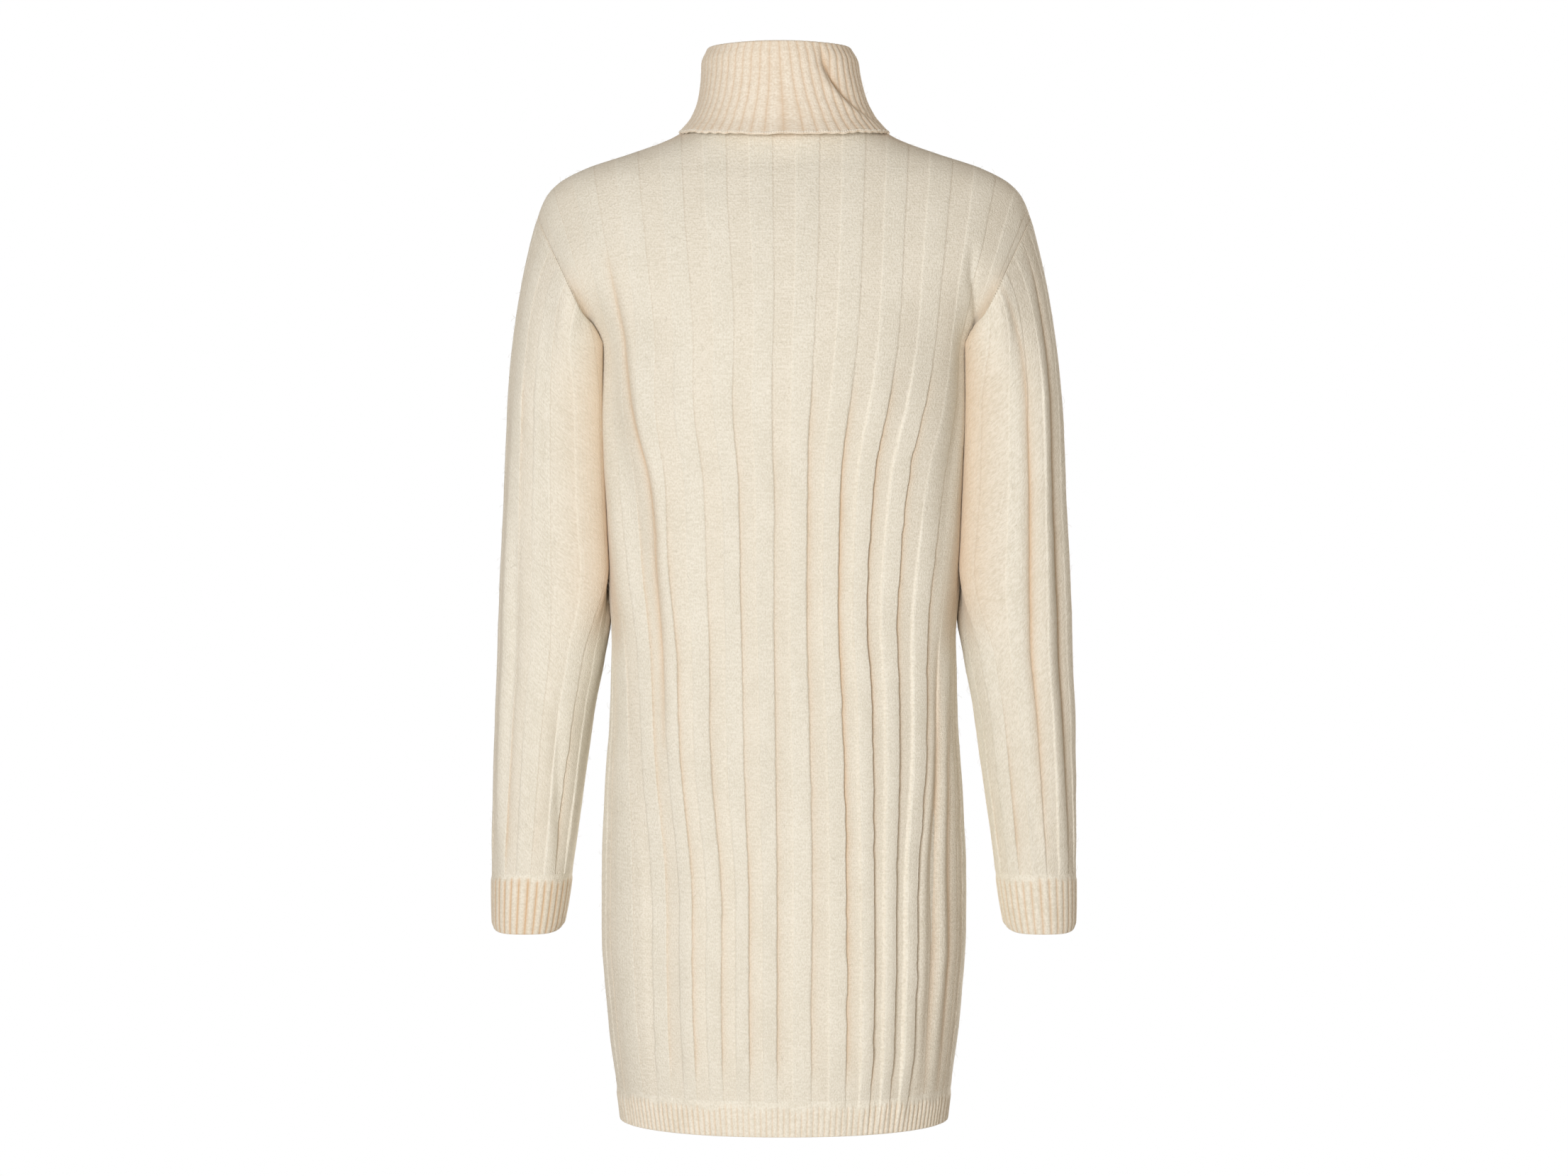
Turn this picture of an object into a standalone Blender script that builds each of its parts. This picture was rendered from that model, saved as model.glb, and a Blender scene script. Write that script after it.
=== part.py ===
"""Sweater dress in wide rib with a turned-down roll neck, in the hollow form that it has when worn.

Metres, Z up. The origin is the centre of the neck base, level with the neck points of the shoulders,
where the wearer's shoulders carry the dress. The wearer faces +Y and their right side is at +X.

Every piece is a wall of knitted cloth: an outer face that follows the ribs and a plain inner face. The
body and the shoulders are worked out from horizontal sections, and the ribs run along them from the neck
to the hem.
"""

import math

import bmesh
import bpy
import numpy as np

CLOTH = 0.0021  # thickness of the wide-ribbed knit between its faces, without the ribs' relief
RIB_CLOTH = 0.0018  # thickness of the finer rib of collar, cuffs and hem
SEAM = 0.0003  # gap between two pieces that are sewn together

NECK_POINT = (0.072, 0.008)  # x and z where neck seam and shoulder seam meet
NECK_DEPTH = 0.066  # y of the neck seam at the centre, for the angle round it
NECK_DIP = {"back": 0.012, "front": 0.036}  # how far the neck seam falls to its middle
UNDERARM = -0.182  # height of the underarm
SEAM_TOP = (0.212, -0.072)  # x and z of the top of the armhole seam, dropped over the shoulder
ARMPIT_RISE = 0.5  # share of the armhole in which body and arm part
HEM_TOP = -0.815
HEM = -0.845
SLEEVE_TUBE = -0.235  # height below which the sleeve is a tube of its own
CUFF_TOP = -0.635
CUFF_END = -0.687

RIBS = 6  # wide ribs in half a panel, each a knit stripe and a purl stripe
NECK_RIBS = 1.81  # ribs in half of the neck seam
# Columns of a panel's plain inner face that are moved to where the neck seam has a corner
AT_NECK = ((1.6, NECK_RIBS), (2.0, 2.19))
FLAT_RIB = 0.039  # width of one rib when the cloth is pulled flat
RIB_HEIGHT = 0.0011  # relief of a rib on flat cloth
RIB_GATHER = 0.0065  # further relief, times the share of width that gathering takes away
SLEEVE_RIBS = 10
HEM_RIBS = 64  # fine ribs in half the hem
CUFF_RIBS = 32
COLLAR_RIBS = 56
COLLAR_RIB = 0.0076  # width of one, for the folds
FINE_RIB = 0.0010  # relief of the fine rib
# A rib's corners, in ribs from the middle of a purl stripe, and whether each is raised
RIB_CORNERS = ((0.19, 0.0), (0.31, 1.0), (0.69, 1.0), (0.81, 0.0))

# Rows of the panels, as shares of the way from the underarm to the top edge, and as heights below it
YOKE_ROWS = (1.0, 0.993, 0.97, 0.92, 0.84, 0.72, 0.58, 0.44, 0.31, 0.19, 0.09, 0.03, 0.0)
BODY_ROWS = (-0.205, -0.250, -0.310, -0.380, -0.450, -0.530, -0.620, -0.715, HEM_TOP)
# Rows of the sleeves, as shares of the way from the armhole seam to the tube, and as heights below it
CAP_ROWS = (0.0, 0.05, 0.20, 0.45, 0.72, 1.0)
TUBE_ROWS = (-0.280, -0.330, -0.380, -0.430, -0.480, -0.535, -0.585, CUFF_TOP)


def table(columns, rows):
    """A table's columns by name, as arrays, in rising order of the first."""
    values = np.array(sorted(rows), float)
    return dict(zip(columns.split(), values.T))


YOKE = table(
    "height half_width back front",
    (
        (0.012, 0.066, 0.059, 0.063),
        (0.008, 0.072, 0.060, 0.064),
        (0.000, 0.089, 0.062, 0.067),
        (-0.006, 0.100, 0.064, 0.069),
        (-0.018, 0.133, 0.067, 0.072),
        (-0.0305, 0.171, 0.071, 0.075),
        (-0.043, 0.1945, 0.077, 0.079),
        (-0.055, 0.205, 0.082, 0.083),
        (-0.072, 0.212, 0.089, 0.090),
        (-0.100, 0.2195, 0.098, 0.101),
        (-0.140, 0.2265, 0.107, 0.115),
        (-0.182, 0.2310, 0.112, 0.125),
        (-0.205, 0.2310, 0.112, 0.1265),
    ),
)

BODY = table(
    "height half_width back front back_square front_square side_seam",
    (
        (-0.182, 0.1585, 0.112, 0.125, 2.3, 2.2, 1.00),
        (-0.226, 0.1580, 0.112, 0.1280, 2.4, 2.2, 1.00),
        (-0.311, 0.1545, 0.101, 0.122, 2.7, 2.3, 0.91),
        (-0.390, 0.1500, 0.092, 0.110, 3.0, 2.4, 0.84),
        (-0.433, 0.1465, 0.092, 0.106, 3.0, 2.4, 0.82),
        (-0.494, 0.1475, 0.098, 0.104, 2.8, 2.4, 0.80),
        (-0.555, 0.1520, 0.108, 0.105, 2.6, 2.4, 0.78),
        (-0.616, 0.1550, 0.116, 0.107, 2.4, 2.3, 0.77),
        (-0.680, 0.1555, 0.117, 0.107, 2.4, 2.3, 0.77),
        (-0.738, 0.1515, 0.113, 0.105, 2.4, 2.3, 0.77),
        (-0.790, 0.1465, 0.107, 0.102, 2.3, 2.3, 0.78),
        (-0.815, 0.1435, 0.104, 0.100, 2.2, 2.3, 0.79),
        (-0.845, 0.1400, 0.102, 0.098, 2.1, 2.3, 0.79),
    ),
)

# How far round from the centre back the ribs lie, as shares of the way to the side seam, on the
# wearer's right and on the wearer's left
RIBS_RIGHT = table(
    "height r0 r1 r2 r3 r4 r5 r6",
    (
        (-0.182, 0.0, 0.163, 0.320, 0.480, 0.650, 0.830, 1.0),
        (-0.288, 0.0, 0.133, 0.270, 0.412, 0.563, 0.770, 1.0),
        (-0.390, 0.0, 0.146, 0.291, 0.424, 0.590, 0.770, 1.0),
        (-0.490, 0.0, 0.168, 0.325, 0.470, 0.614, 0.780, 1.0),
        (-0.666, 0.0, 0.178, 0.343, 0.462, 0.580, 0.730, 1.0),
        (-0.815, 0.0, 0.190, 0.370, 0.500, 0.620, 0.765, 1.0),
    ),
)
RIBS_LEFT = table(
    "height r0 r1 r2 r3 r4 r5 r6",
    (
        (-0.182, 0.0, 0.152, 0.306, 0.464, 0.628, 0.815, 1.0),
        (-0.288, 0.0, 0.152, 0.299, 0.459, 0.620, 0.800, 1.0),
        (-0.390, 0.0, 0.168, 0.325, 0.507, 0.655, 0.815, 1.0),
        (-0.490, 0.0, 0.155, 0.333, 0.500, 0.640, 0.800, 1.0),
        (-0.666, 0.0, 0.140, 0.265, 0.405, 0.545, 0.710, 1.0),
        (-0.815, 0.0, 0.145, 0.285, 0.430, 0.575, 0.750, 1.0),
    ),
)

SLEEVE = table(
    "height centre_x centre_y half_width half_depth",
    (
        (-0.235, 0.1990, 0.000, 0.0380, 0.0530),
        (-0.311, 0.1992, 0.000, 0.0410, 0.0535),
        (-0.372, 0.1990, 0.000, 0.0440, 0.0525),
        (-0.433, 0.1995, 0.001, 0.0460, 0.0510),
        (-0.494, 0.2057, 0.004, 0.0425, 0.0490),
        (-0.555, 0.2113, 0.010, 0.0390, 0.0460),
        (-0.616, 0.2165, 0.017, 0.0357, 0.0420),
        (-0.660, 0.2200, 0.022, 0.0330, 0.0390),
        (-0.687, 0.2215, 0.025, 0.0312, 0.0370),
    ),
)

# The outside of the turned-down collar, from its free edge up to the fold. dip is the share of the
# edge's fall to its middle that a row has, and lean the share of the collar's lean
COLLAR = table(
    "height half_width back front square dip lean",
    (
        (0.0035, 0.0925, 0.0790, 0.0885, 2.6, 1.00, 0.00),
        (0.0140, 0.0790, 0.0705, 0.0785, 2.6, 0.78, 0.16),
        (0.0300, 0.0720, 0.0660, 0.0725, 2.4, 0.50, 0.40),
        (0.0500, 0.0682, 0.0628, 0.0688, 2.2, 0.20, 0.72),
        (0.0685, 0.0662, 0.0605, 0.0660, 2.1, 0.00, 1.00),
    ),
)
COLLAR_DIP = {"back": 0.0115, "front": 0.0400}
COLLAR_LEAN = (-0.0042, 0.0100)  # shift of the collar's fold in x and y
COLLAR_LAYERS = 0.0030  # distance between the middles of its two layers
NECK_RINGS = (0.40, 0.85)  # rows of the inner layer, as shares of the way from the fold to the neck seam

# Where body and arm part the ribs lie flat: middle height, half height, fade, and the first rib
ARMPIT = (-0.172, 0.020, 0.040)
ARMPIT_RIB = 4.6

# Soft folds: piece, rib and height where each begins and ends, its width, and its height off the cloth
FOLDS = (
    ("back", -5.05, -0.140, -4.15, -0.430, 0.015, -0.0045),
    ("back", -4.45, -0.150, -3.50, -0.560, 0.018, 0.0040),
    ("back", 4.45, -0.150, 4.85, -0.420, 0.018, 0.0035),
    ("back", -3.10, -0.480, -2.90, -0.830, 0.020, 0.0028),
    ("back", -4.60, -0.560, -4.40, -0.830, 0.015, -0.0028),
    ("front", 3.80, -0.230, 2.60, -0.600, 0.018, 0.0040),
    ("front", -3.60, -0.240, -2.40, -0.640, 0.018, 0.0040),
    ("front", 1.50, -0.400, 1.20, -0.830, 0.018, -0.0030),
    ("front", -1.20, -0.450, -1.40, -0.830, 0.018, 0.0030),
    ("sleeve_right", 3.20, -0.120, 3.30, -0.610, 0.010, -0.0045),
    ("sleeve_right", 3.85, -0.130, 4.00, -0.640, 0.012, 0.0035),
    ("sleeve_right", 4.60, -0.120, 4.75, -0.620, 0.010, -0.0040),
    ("sleeve_right", 1.60, -0.400, 2.90, -0.630, 0.012, -0.0030),
    ("sleeve_left", 2.60, -0.150, 2.45, -0.480, 0.010, -0.0035),
    ("sleeve_left", 2.10, -0.470, 1.30, -0.640, 0.011, -0.0040),
    ("sleeve_left", 4.30, -0.200, 4.40, -0.600, 0.014, 0.0030),
    ("sleeve_left", 7.20, -0.250, 7.60, -0.560, 0.014, 0.0030),
    ("sleeve_right", 7.40, -0.250, 7.10, -0.560, 0.014, 0.0030),
    ("collar", 4.40, 0.072, 10.60, 0.008, 0.009, -0.0026),
)


def smooth_at(columns, name, at):
    """A column's value at some heights, on a smooth curve that doesn't overshoot between the rows."""
    xs, ys = columns["height"], columns[name]
    step = np.diff(xs)
    slope = np.diff(ys) / step
    both = slope[:-1] * slope[1:]
    total = np.where(both > 0, slope[:-1] + slope[1:], 1.0)
    turn = np.concatenate(([slope[0]], np.where(both > 0, 2 * both / total, 0.0), [slope[-1]]))
    at = np.clip(at, xs[0], xs[-1])
    i = np.clip(np.searchsorted(xs, at) - 1, 0, len(step) - 1)
    t = (at - xs[i]) / step[i]
    held = ys[i] * (1 + 2 * t) * (1 - t) ** 2 + ys[i + 1] * t * t * (3 - 2 * t)
    return held + step[i] * (turn[i] * t * (1 - t) ** 2 + turn[i + 1] * t * t * (t - 1))


def ease(t):
    """0 to 1 with level ends."""
    t = np.clip(t, 0, 1)
    return t * t * (3 - 2 * t)


def unit(vectors):
    return vectors / np.maximum(np.linalg.norm(vectors, axis=-1, keepdims=True), 1e-12)


def normals(points, closed):
    """Normals of a grid of points, rows running down and columns to the wearer's right from behind."""
    if closed:
        across = np.roll(points, -1, axis=1) - np.roll(points, 1, axis=1)
    else:
        across = np.gradient(points, axis=1)
    return unit(np.cross(np.gradient(points, axis=0), across))


def half_girth(height):
    """The body's section from the centre back round the right to the front, and the length along it."""
    width, back, front, back_square, front_square, seam = (
        smooth_at(BODY, name, height)
        for name in ("half_width", "back", "front", "back_square", "front_square", "side_seam")
    )
    turn = np.linspace(0, math.pi / 2, 181)
    sine, cosine = np.sin(turn), np.cos(turn)
    behind = np.stack([width * sine ** (2 / back_square), -back * cosine ** (2 / back_square)], 1)
    before = np.stack([width * cosine ** (2 / front_square), front * sine ** (2 / front_square)], 1)
    line = np.concatenate([behind, before[1:]])
    along = np.concatenate(([0.0], np.cumsum(np.linalg.norm(np.diff(line, axis=0), axis=1))))
    return line, along, along[len(behind) - 1] * seam


def side_outward(height):
    """The cloth's direction outward at the right side seam."""
    line, along, seam = half_girth(height)
    ahead = [np.interp(seam + step, along, column) for column in line.T for step in (-0.001, 0.001)]
    return unit(np.array([ahead[3] - ahead[2], ahead[0] - ahead[1], 0]))


def rib_share(piece, rib, height):
    """How far round to the side seam a rib lies, as a signed share."""
    if piece == "front":
        return rib / RIBS
    shares = np.zeros_like(rib)
    for side, lines in ((1, RIBS_RIGHT), (-1, RIBS_LEFT)):
        row = np.array([smooth_at(lines, f"r{i}", height) for i in range(RIBS + 1)])
        there = rib * side >= 0
        shares[there] = side * np.interp(np.abs(rib[there]), np.arange(RIBS + 1), row)
    return shares


def body_row(piece, share, height):
    """Points of a panel at a height below the underarm, at shares of the way from middle to side."""
    line, along, seam = half_girth(height)
    if piece == "back":
        reach = (seam - SEAM / 2) * np.abs(share)
    else:
        reach = along[-1] - (along[-1] - seam - SEAM / 2) * np.abs(share)
    x = np.interp(reach, along, line[:, 0]) * np.sign(share)
    y = np.interp(reach, along, line[:, 1])
    return np.stack([x, y, np.full_like(x, height)], 1)


def top_edge(piece, rib):
    """x and z of the panel's top edge: the neck seam, then the shoulder seam out to the armhole."""
    size = np.abs(rib)
    neck_x, neck_z = NECK_POINT
    on_neck = np.clip(size / NECK_RIBS, 0, 1)
    heights = np.linspace(neck_z, SEAM_TOP[1], 60)
    line = np.stack([smooth_at(YOKE, "half_width", heights), heights], 1)
    along = np.concatenate(([0.0], np.cumsum(np.linalg.norm(np.diff(line, axis=0), axis=1))))
    reach = np.clip((size - NECK_RIBS) / (RIBS - NECK_RIBS), 0, 1) * along[-1]
    x = np.where(size < NECK_RIBS, neck_x * on_neck, np.interp(reach, along, line[:, 0]))
    dipped = neck_z - NECK_DIP[piece] * (1 - on_neck**2)
    z = np.where(size < NECK_RIBS, dipped, np.interp(reach, along, line[:, 1]))
    return x * np.sign(rib), z


def yoke_row(piece, rib, rise):
    """Points of a panel's ribs at a share of the way from the underarm to its top edge."""
    low = body_row(piece, rib_share(piece, rib, UNDERARM), UNDERARM)
    top_x, top_z = top_edge(piece, rib)
    x = low[:, 0] + (top_x - low[:, 0]) * rise
    z = UNDERARM + (top_z - UNDERARM) * rise

    def whole(across, height):
        reach = np.clip(np.abs(across) / smooth_at(YOKE, "half_width", height), 0, 1)
        return smooth_at(YOKE, piece, height) * np.sqrt(1 - reach**2)

    t = min(rise / ARMPIT_RISE, 1.0)
    at_edge = (np.abs(rib) / RIBS) ** 8
    join = ease(t) * (1 - at_edge) + math.sin(math.pi * t / 2) * at_edge
    in_middle = 1 - ease((np.abs(rib) - 2) / 3)
    body = np.abs(low[:, 1]) + (whole(x, z) - whole(low[:, 0], UNDERARM)) * in_middle
    depth = np.maximum(whole(x, z) * join + body * (1 - join), SEAM / 2)
    return np.stack([x, depth * (-1 if piece == "back" else 1), z], 1)


def panel_points(piece, rib):
    yoke = [yoke_row(piece, rib, rise) for rise in YOKE_ROWS]
    body = [body_row(piece, rib_share(piece, rib, height), height) for height in BODY_ROWS]
    return np.array(yoke + body)


def tube_row(turn, height):
    """Points round the wearer's right sleeve or cuff, from its inner side by way of its back."""
    names = ("centre_x", "centre_y", "half_width", "half_depth")
    x, y, width, depth = (smooth_at(SLEEVE, name, height) for name in names)
    round_ = 2 * math.pi * turn
    sine, cosine = np.sin(round_), np.cos(round_)
    flat = 2 / 2.2
    return np.stack(
        [
            x - width * np.sign(cosine) * np.abs(cosine) ** flat,
            y - depth * np.sign(sine) * np.abs(sine) ** flat,
            np.full_like(turn, height),
        ],
        1,
    )


def armhole():
    """The right armhole's seam, from the underarm up the back and down the front: its points, how far
    round each is, the direction across it and away from the panels, and the cloth's normal."""
    rises = YOKE_ROWS[::-1]
    edges, inside = [], []
    for piece in ("back", "front"):
        rows = np.array([yoke_row(piece, np.array([RIBS - 0.31, RIBS]), rise) for rise in rises])
        inside.append(rows[:, 0])
        edges.append(rows[:, 1])
    shared = [(edges[0][i] + edges[1][i]) / 2 for i in (0, -1)]
    seam = np.array([shared[0], *edges[0][1:-1], shared[1], *edges[1][-2:0:-1]])
    top = (inside[0][-1] + inside[1][-1]) / 2
    within = np.array([inside[0][0], *inside[0][1:-1], top, *inside[1][-2:0:-1]])
    half = len(rises) - 1
    step = np.linalg.norm(np.roll(seam, -1, axis=0) - seam, axis=1)
    along = np.concatenate(([0.0], np.cumsum(step)))
    at = np.interp(along[:-1], [0, along[half], along[-1]], [0, 0.5, 1])
    up = np.array([*rises, *rises[-2:0:-1]])[:, None]
    outward = np.array([[1.0, 0.0, 0.0]])
    blend = ease(up / 0.32)
    across = unit(unit(seam - within) * blend + outward * (1 - blend))
    tangent = unit(np.roll(seam, -1, axis=0) - np.roll(seam, 1, axis=0))
    across = unit(across - tangent * np.sum(across * tangent, axis=1, keepdims=True))
    return seam, at, across, -unit(np.cross(tangent, across))


def around(at, values, turn):
    """Values of a closed loop at other places round it."""
    return np.stack([np.interp(turn, [*at, 1.0], [*column, column[0]]) for column in values.T], 1)


def sleeve_points(turn):
    """Rows of the right sleeve from the armhole seam down to the cuff."""
    seam, at, across, _ = armhole()
    start, leave = around(at, seam, turn), around(at, across, turn)
    end = tube_row(turn, SLEEVE_TUBE)
    length = np.linalg.norm(end - start, axis=1, keepdims=True)
    down = unit(end - start)
    high = (np.sin(math.pi * turn) ** 2)[:, None]
    first = unit(leave * 0.6 + down * 0.4) * length * (0.25 + 0.65 * high)
    last = unit(tube_row(turn, SLEEVE_TUBE - 0.03) - end) * length * 0.9
    rows = []
    for w in CAP_ROWS:
        held = start * (1 + 2 * w) * (1 - w) ** 2 + end * w * w * (3 - 2 * w)
        rows.append(held + first * w * (1 - w) ** 2 + last * w * w * (w - 1))
    rows.extend(tube_row(turn, height) for height in TUBE_ROWS)
    return np.array(rows)


def fold_lift(piece, rib, height, width_of_rib):
    """How far the soft folds lift the cloth of a piece."""
    lift = np.zeros(np.broadcast(rib, height).shape)
    for name, rib_0, top, rib_1, bottom, width, size in FOLDS:
        if name == piece:
            along = np.clip((top - height) / (top - bottom), 0, 1)
            across = (rib - rib_0 - (rib_1 - rib_0) * along) * width_of_rib / width
            lift += size * np.sin(math.pi * along) ** 0.7 * np.exp(-(across**2))
    return lift


def rib_columns(first, last):
    """The ribs' corners from one rib to another, and how far each is raised, 0 to 1."""
    columns = [(rib + at, up) for rib in range(first, last) for at, up in RIB_CORNERS]
    return np.array([c[0] for c in columns]), np.array([c[1] for c in columns])


def rib_width(points, rib):
    return np.linalg.norm(np.gradient(points, axis=1), axis=2) / np.gradient(rib)


def relief(width, raised, height, nearness):
    """Height of the ribs, which stand deeper where the cloth is gathered. nearness is 1 by the armpit."""
    middle, half, fade = ARMPIT
    flat = nearness * (1 - ease((np.abs(height - middle) - half) / fade))
    gathered = np.clip(1 - width / FLAT_RIB, 0, 0.5) * ease((UNDERARM - height) / 0.05)
    return raised * (RIB_HEIGHT + RIB_GATHER * gathered) * (1 - flat)


def zip_rows(mesh, upper, upper_at, lower, lower_at, closed):
    """Triangles between two rows of points, matched by how far along each point is."""
    if closed:
        upper, upper_at = [*upper, upper[0]], [*upper_at, upper_at[0] + 1]
        lower, lower_at = [*lower, lower[0]], [*lower_at, lower_at[0] + 1]
    i = j = 0
    while i < len(upper) - 1 or j < len(lower) - 1:
        if j == len(lower) - 1 or (i < len(upper) - 1 and upper_at[i + 1] <= lower_at[j + 1]):
            mesh.faces.new((upper[i], upper[i + 1], lower[j]))
            i += 1
        else:
            mesh.faces.new((upper[i], lower[j + 1], lower[j]))
            j += 1


def skin(mesh, rows, closed):
    """Faces over rows of points with how far along each point is. Rows of unlike length are zipped."""
    grid = [[mesh.verts.new(point) for point in points] for points, _ in rows]
    for (upper, (_, upper_at)), (lower, (_, lower_at)) in zip(zip(grid, rows), zip(grid[1:], rows[1:])):
        width = len(upper)
        if width != len(lower):
            zip_rows(mesh, upper, upper_at, lower, lower_at, closed)
            continue
        for c in range(width if closed else width - 1):
            d = (c + 1) % width
            mesh.faces.new((upper[c], upper[d], lower[d], lower[c]))
    return grid


def border(grid, at):
    """An open sheet's edge in one loop, with how far round each point is; each side is a quarter."""
    across = (at - at[0]) / (at[-1] - at[0])  # top, right side down, bottom, left side up
    down = np.linspace(0, 1, len(grid))
    sides = (
        (grid[0], across),
        ([row[-1] for row in grid], down),
        (grid[-1][::-1], 1 - across[::-1]),
        ([row[0] for row in grid][::-1], down),
    )
    loop, places = [], []
    for quarter, (side, along) in enumerate(sides):
        loop.extend(side[:-1])
        places.extend((quarter + along[:-1]) / 4)
    return loop, places


def finish(name, mesh, material):
    bmesh.ops.recalc_face_normals(mesh, faces=mesh.faces)
    data = bpy.data.meshes.new(name)
    mesh.to_mesh(data)
    mesh.free()
    data.shade_smooth()
    data.set_sharp_from_angle(angle=math.radians(50))
    data.materials.append(material)
    piece = bpy.data.objects.new(name, data)
    bpy.context.scene.collection.objects.link(piece)


def flat_wall(name, outer, at, inner, plain_at, material, turned=()):
    """A panel as a closed solid between its outer and inner faces. The inner face has its own columns,
    except along the rims, where both have the same. turned says where the rim's quads split along the
    other diagonal."""
    mesh = bmesh.new()
    outside = skin(mesh, [(row, at) for row in outer], closed=False)
    inside = skin(mesh, [(row, at if len(row) == len(at) else plain_at) for row in inner], closed=False)
    outside, places = border(outside, at)
    inside, _ = border([inside[0], *([row[0], row[-1]] for row in inside[1:-1]), inside[-1]], at)
    early = [place - 1e-6 * any(first <= place <= last for first, last in turned) for place in places]
    zip_rows(mesh, outside, places, inside, early, closed=True)
    finish(name, mesh, material)


def tube_wall(name, outer, inner, material):
    """A tube of cloth as a closed solid. Both faces are rows of points with how far round they are."""
    mesh = bmesh.new()
    outside = skin(mesh, outer, closed=True)
    inside = skin(mesh, inner, closed=True)
    for end in (0, -1):
        zip_rows(mesh, outside[end], outer[end][1], inside[end], inner[end][1], closed=True)
    finish(name, mesh, material)


def panel_faces(piece, rib, raised):
    """A panel's outer face with its ribs, and its plain inner face, at the same places."""
    facing = 1 if piece == "back" else -1
    points = panel_points(piece, rib)
    up = normals(points, closed=False) * facing
    width = rib_width(points, rib)
    inside = 1 - (np.abs(rib) / RIBS) ** 12
    lift = fold_lift(piece, rib, points[..., 2], np.maximum(width, 0.02)) * inside
    points = points + up * lift[..., None]
    _, _, across, normal = armhole()
    rises = len(YOKE_ROWS)
    own = slice(0, rises) if piece == "back" else np.array([0, *range(len(across) - 1, rises - 2, -1)])
    across, normal = across[own][::-1], normal[own][::-1]
    for side in (0, -1):
        mirror = np.array([1 if side else -1, 1, 1])
        up[:rises, side] = normal * mirror
        points[:rises, side] -= across * mirror * SEAM / 2
        for row, height in enumerate(BODY_ROWS, rises):
            up[row, side] = side_outward(height) * mirror
    on_shoulder = np.abs(rib) > NECK_RIBS - 0.001
    edge, outward = np.array(top_edge(piece, rib)), np.array(top_edge(piece, rib + 0.02 * np.sign(rib)))
    fall, run = (edge - outward)[1], np.abs(outward - edge)[0]
    upright = unit(np.stack([fall * np.sign(rib), np.zeros(len(rib)), run], 1))
    up[0, on_shoulder] = upright[on_shoulder]
    points[0, on_shoulder, 1] = -facing * SEAM / 2
    up[-1, :, 2] = 0
    up[-1] = unit(up[-1])
    points[-1, :, 2] = HEM_TOP + SEAM / 2
    high = relief(width, raised, points[..., 2], ease(np.abs(rib) - ARMPIT_RIB))
    high[0, np.abs(rib) < NECK_RIBS + 0.5] = 0
    return points + up * high[..., None], points - up * CLOTH, up


def panel(piece, material):
    rib, raised = rib_columns(-RIBS, RIBS)
    rib, raised = np.array([-RIBS, *rib, RIBS]), np.array([0, *raised, 0])
    outer, rims, _ = panel_faces(piece, rib, raised)
    plain = np.linspace(-RIBS, RIBS, 5 * RIBS + 1)
    for near, corner in AT_NECK:
        plain = np.where(np.abs(np.abs(plain) - near) < 0.01, corner * np.sign(plain), plain)
    _, inner, _ = panel_faces(piece, plain, np.zeros_like(plain))
    armhole_part = (len(YOKE_ROWS) - 0.9) / (len(outer) - 1) / 4
    if piece == "back":
        turned = ((-0.1, 0.249), (0.251, 0.25 + armhole_part))
    else:
        turned = ((1 - armhole_part, 1.1), (-0.1, 0.0))
    flat_wall(piece, outer, rib, [rims[0], *inner[1:-1], rims[-1]], plain, material, turned)


def hem_rib(name, piece, material):
    """The finer rib that is knitted on to a panel's lower edge."""
    rows = (HEM_TOP - SEAM / 2, HEM_TOP - 0.022, HEM)

    def faces(share, raised):
        points = np.array([body_row(piece, share, height) for height in rows])
        points[0, :, 2] = rows[0]
        up = normals(points, closed=False) * (1 if piece == "back" else -1)
        up[..., 2] = 0
        up = unit(up)
        for side in (0, -1):
            mirror = np.array([1 if side else -1, 1, 1])
            for row, height in enumerate(rows):
                up[row, side] = side_outward(height) * mirror
        lift = fold_lift(piece, share * RIBS, points[..., 2], FLAT_RIB)
        points = points + up * lift[..., None]
        return points + up * (raised * FINE_RIB)[None, :, None], points - up * RIB_CLOTH

    share = np.linspace(-1, 1, 2 * HEM_RIBS + 1)
    raised = np.arange(2 * HEM_RIBS + 1) % 2
    plain = np.linspace(-1, 1, 49)
    outer, rims = faces(share, raised)
    _, inner = faces(plain, np.zeros_like(plain))
    flat_wall(name, outer[[0, 2]], share, rims[[0, 2]], plain, material)


def sleeve(name, side, material):
    seam, at, across, normal = armhole()
    ring = seam + across * SEAM / 2
    mirror = np.array([side, 1, 1])

    def faces(turn, raised):
        points = sleeve_points(turn)
        up = normals(points, closed=True)
        rib = turn * SLEEVE_RIBS
        width = rib_width(points, rib)
        points = points + up * fold_lift(name, rib, points[..., 2], np.maximum(width, 0.02))[..., None]
        up[-1, :, 2] = 0
        up[-1] = unit(up[-1])
        points[-1, :, 2] = CUFF_TOP + SEAM / 2
        high = relief(width, raised, points[..., 2], 1 - ease(np.minimum(rib, SLEEVE_RIBS - rib) - 0.4))
        return points + up * high[..., None], points - up * CLOTH

    rib, raised = rib_columns(0, SLEEVE_RIBS)
    turn, raised = np.array([0, *rib]) / SLEEVE_RIBS, np.array([0, *raised])
    outer, rims = faces(turn, raised)
    plain = np.arange(3 * SLEEVE_RIBS) / (3 * SLEEVE_RIBS)
    _, inner = faces(plain, np.zeros_like(plain))
    outside = [(ring * mirror, at)] + [(row * mirror, turn) for row in outer[1:]]
    inside = [((ring - normal * CLOTH) * mirror, at)] + [(row * mirror, plain) for row in inner[1:-1]]
    tube_wall(name, outside, [*inside, (rims[-1] * mirror, turn)], material)


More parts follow.
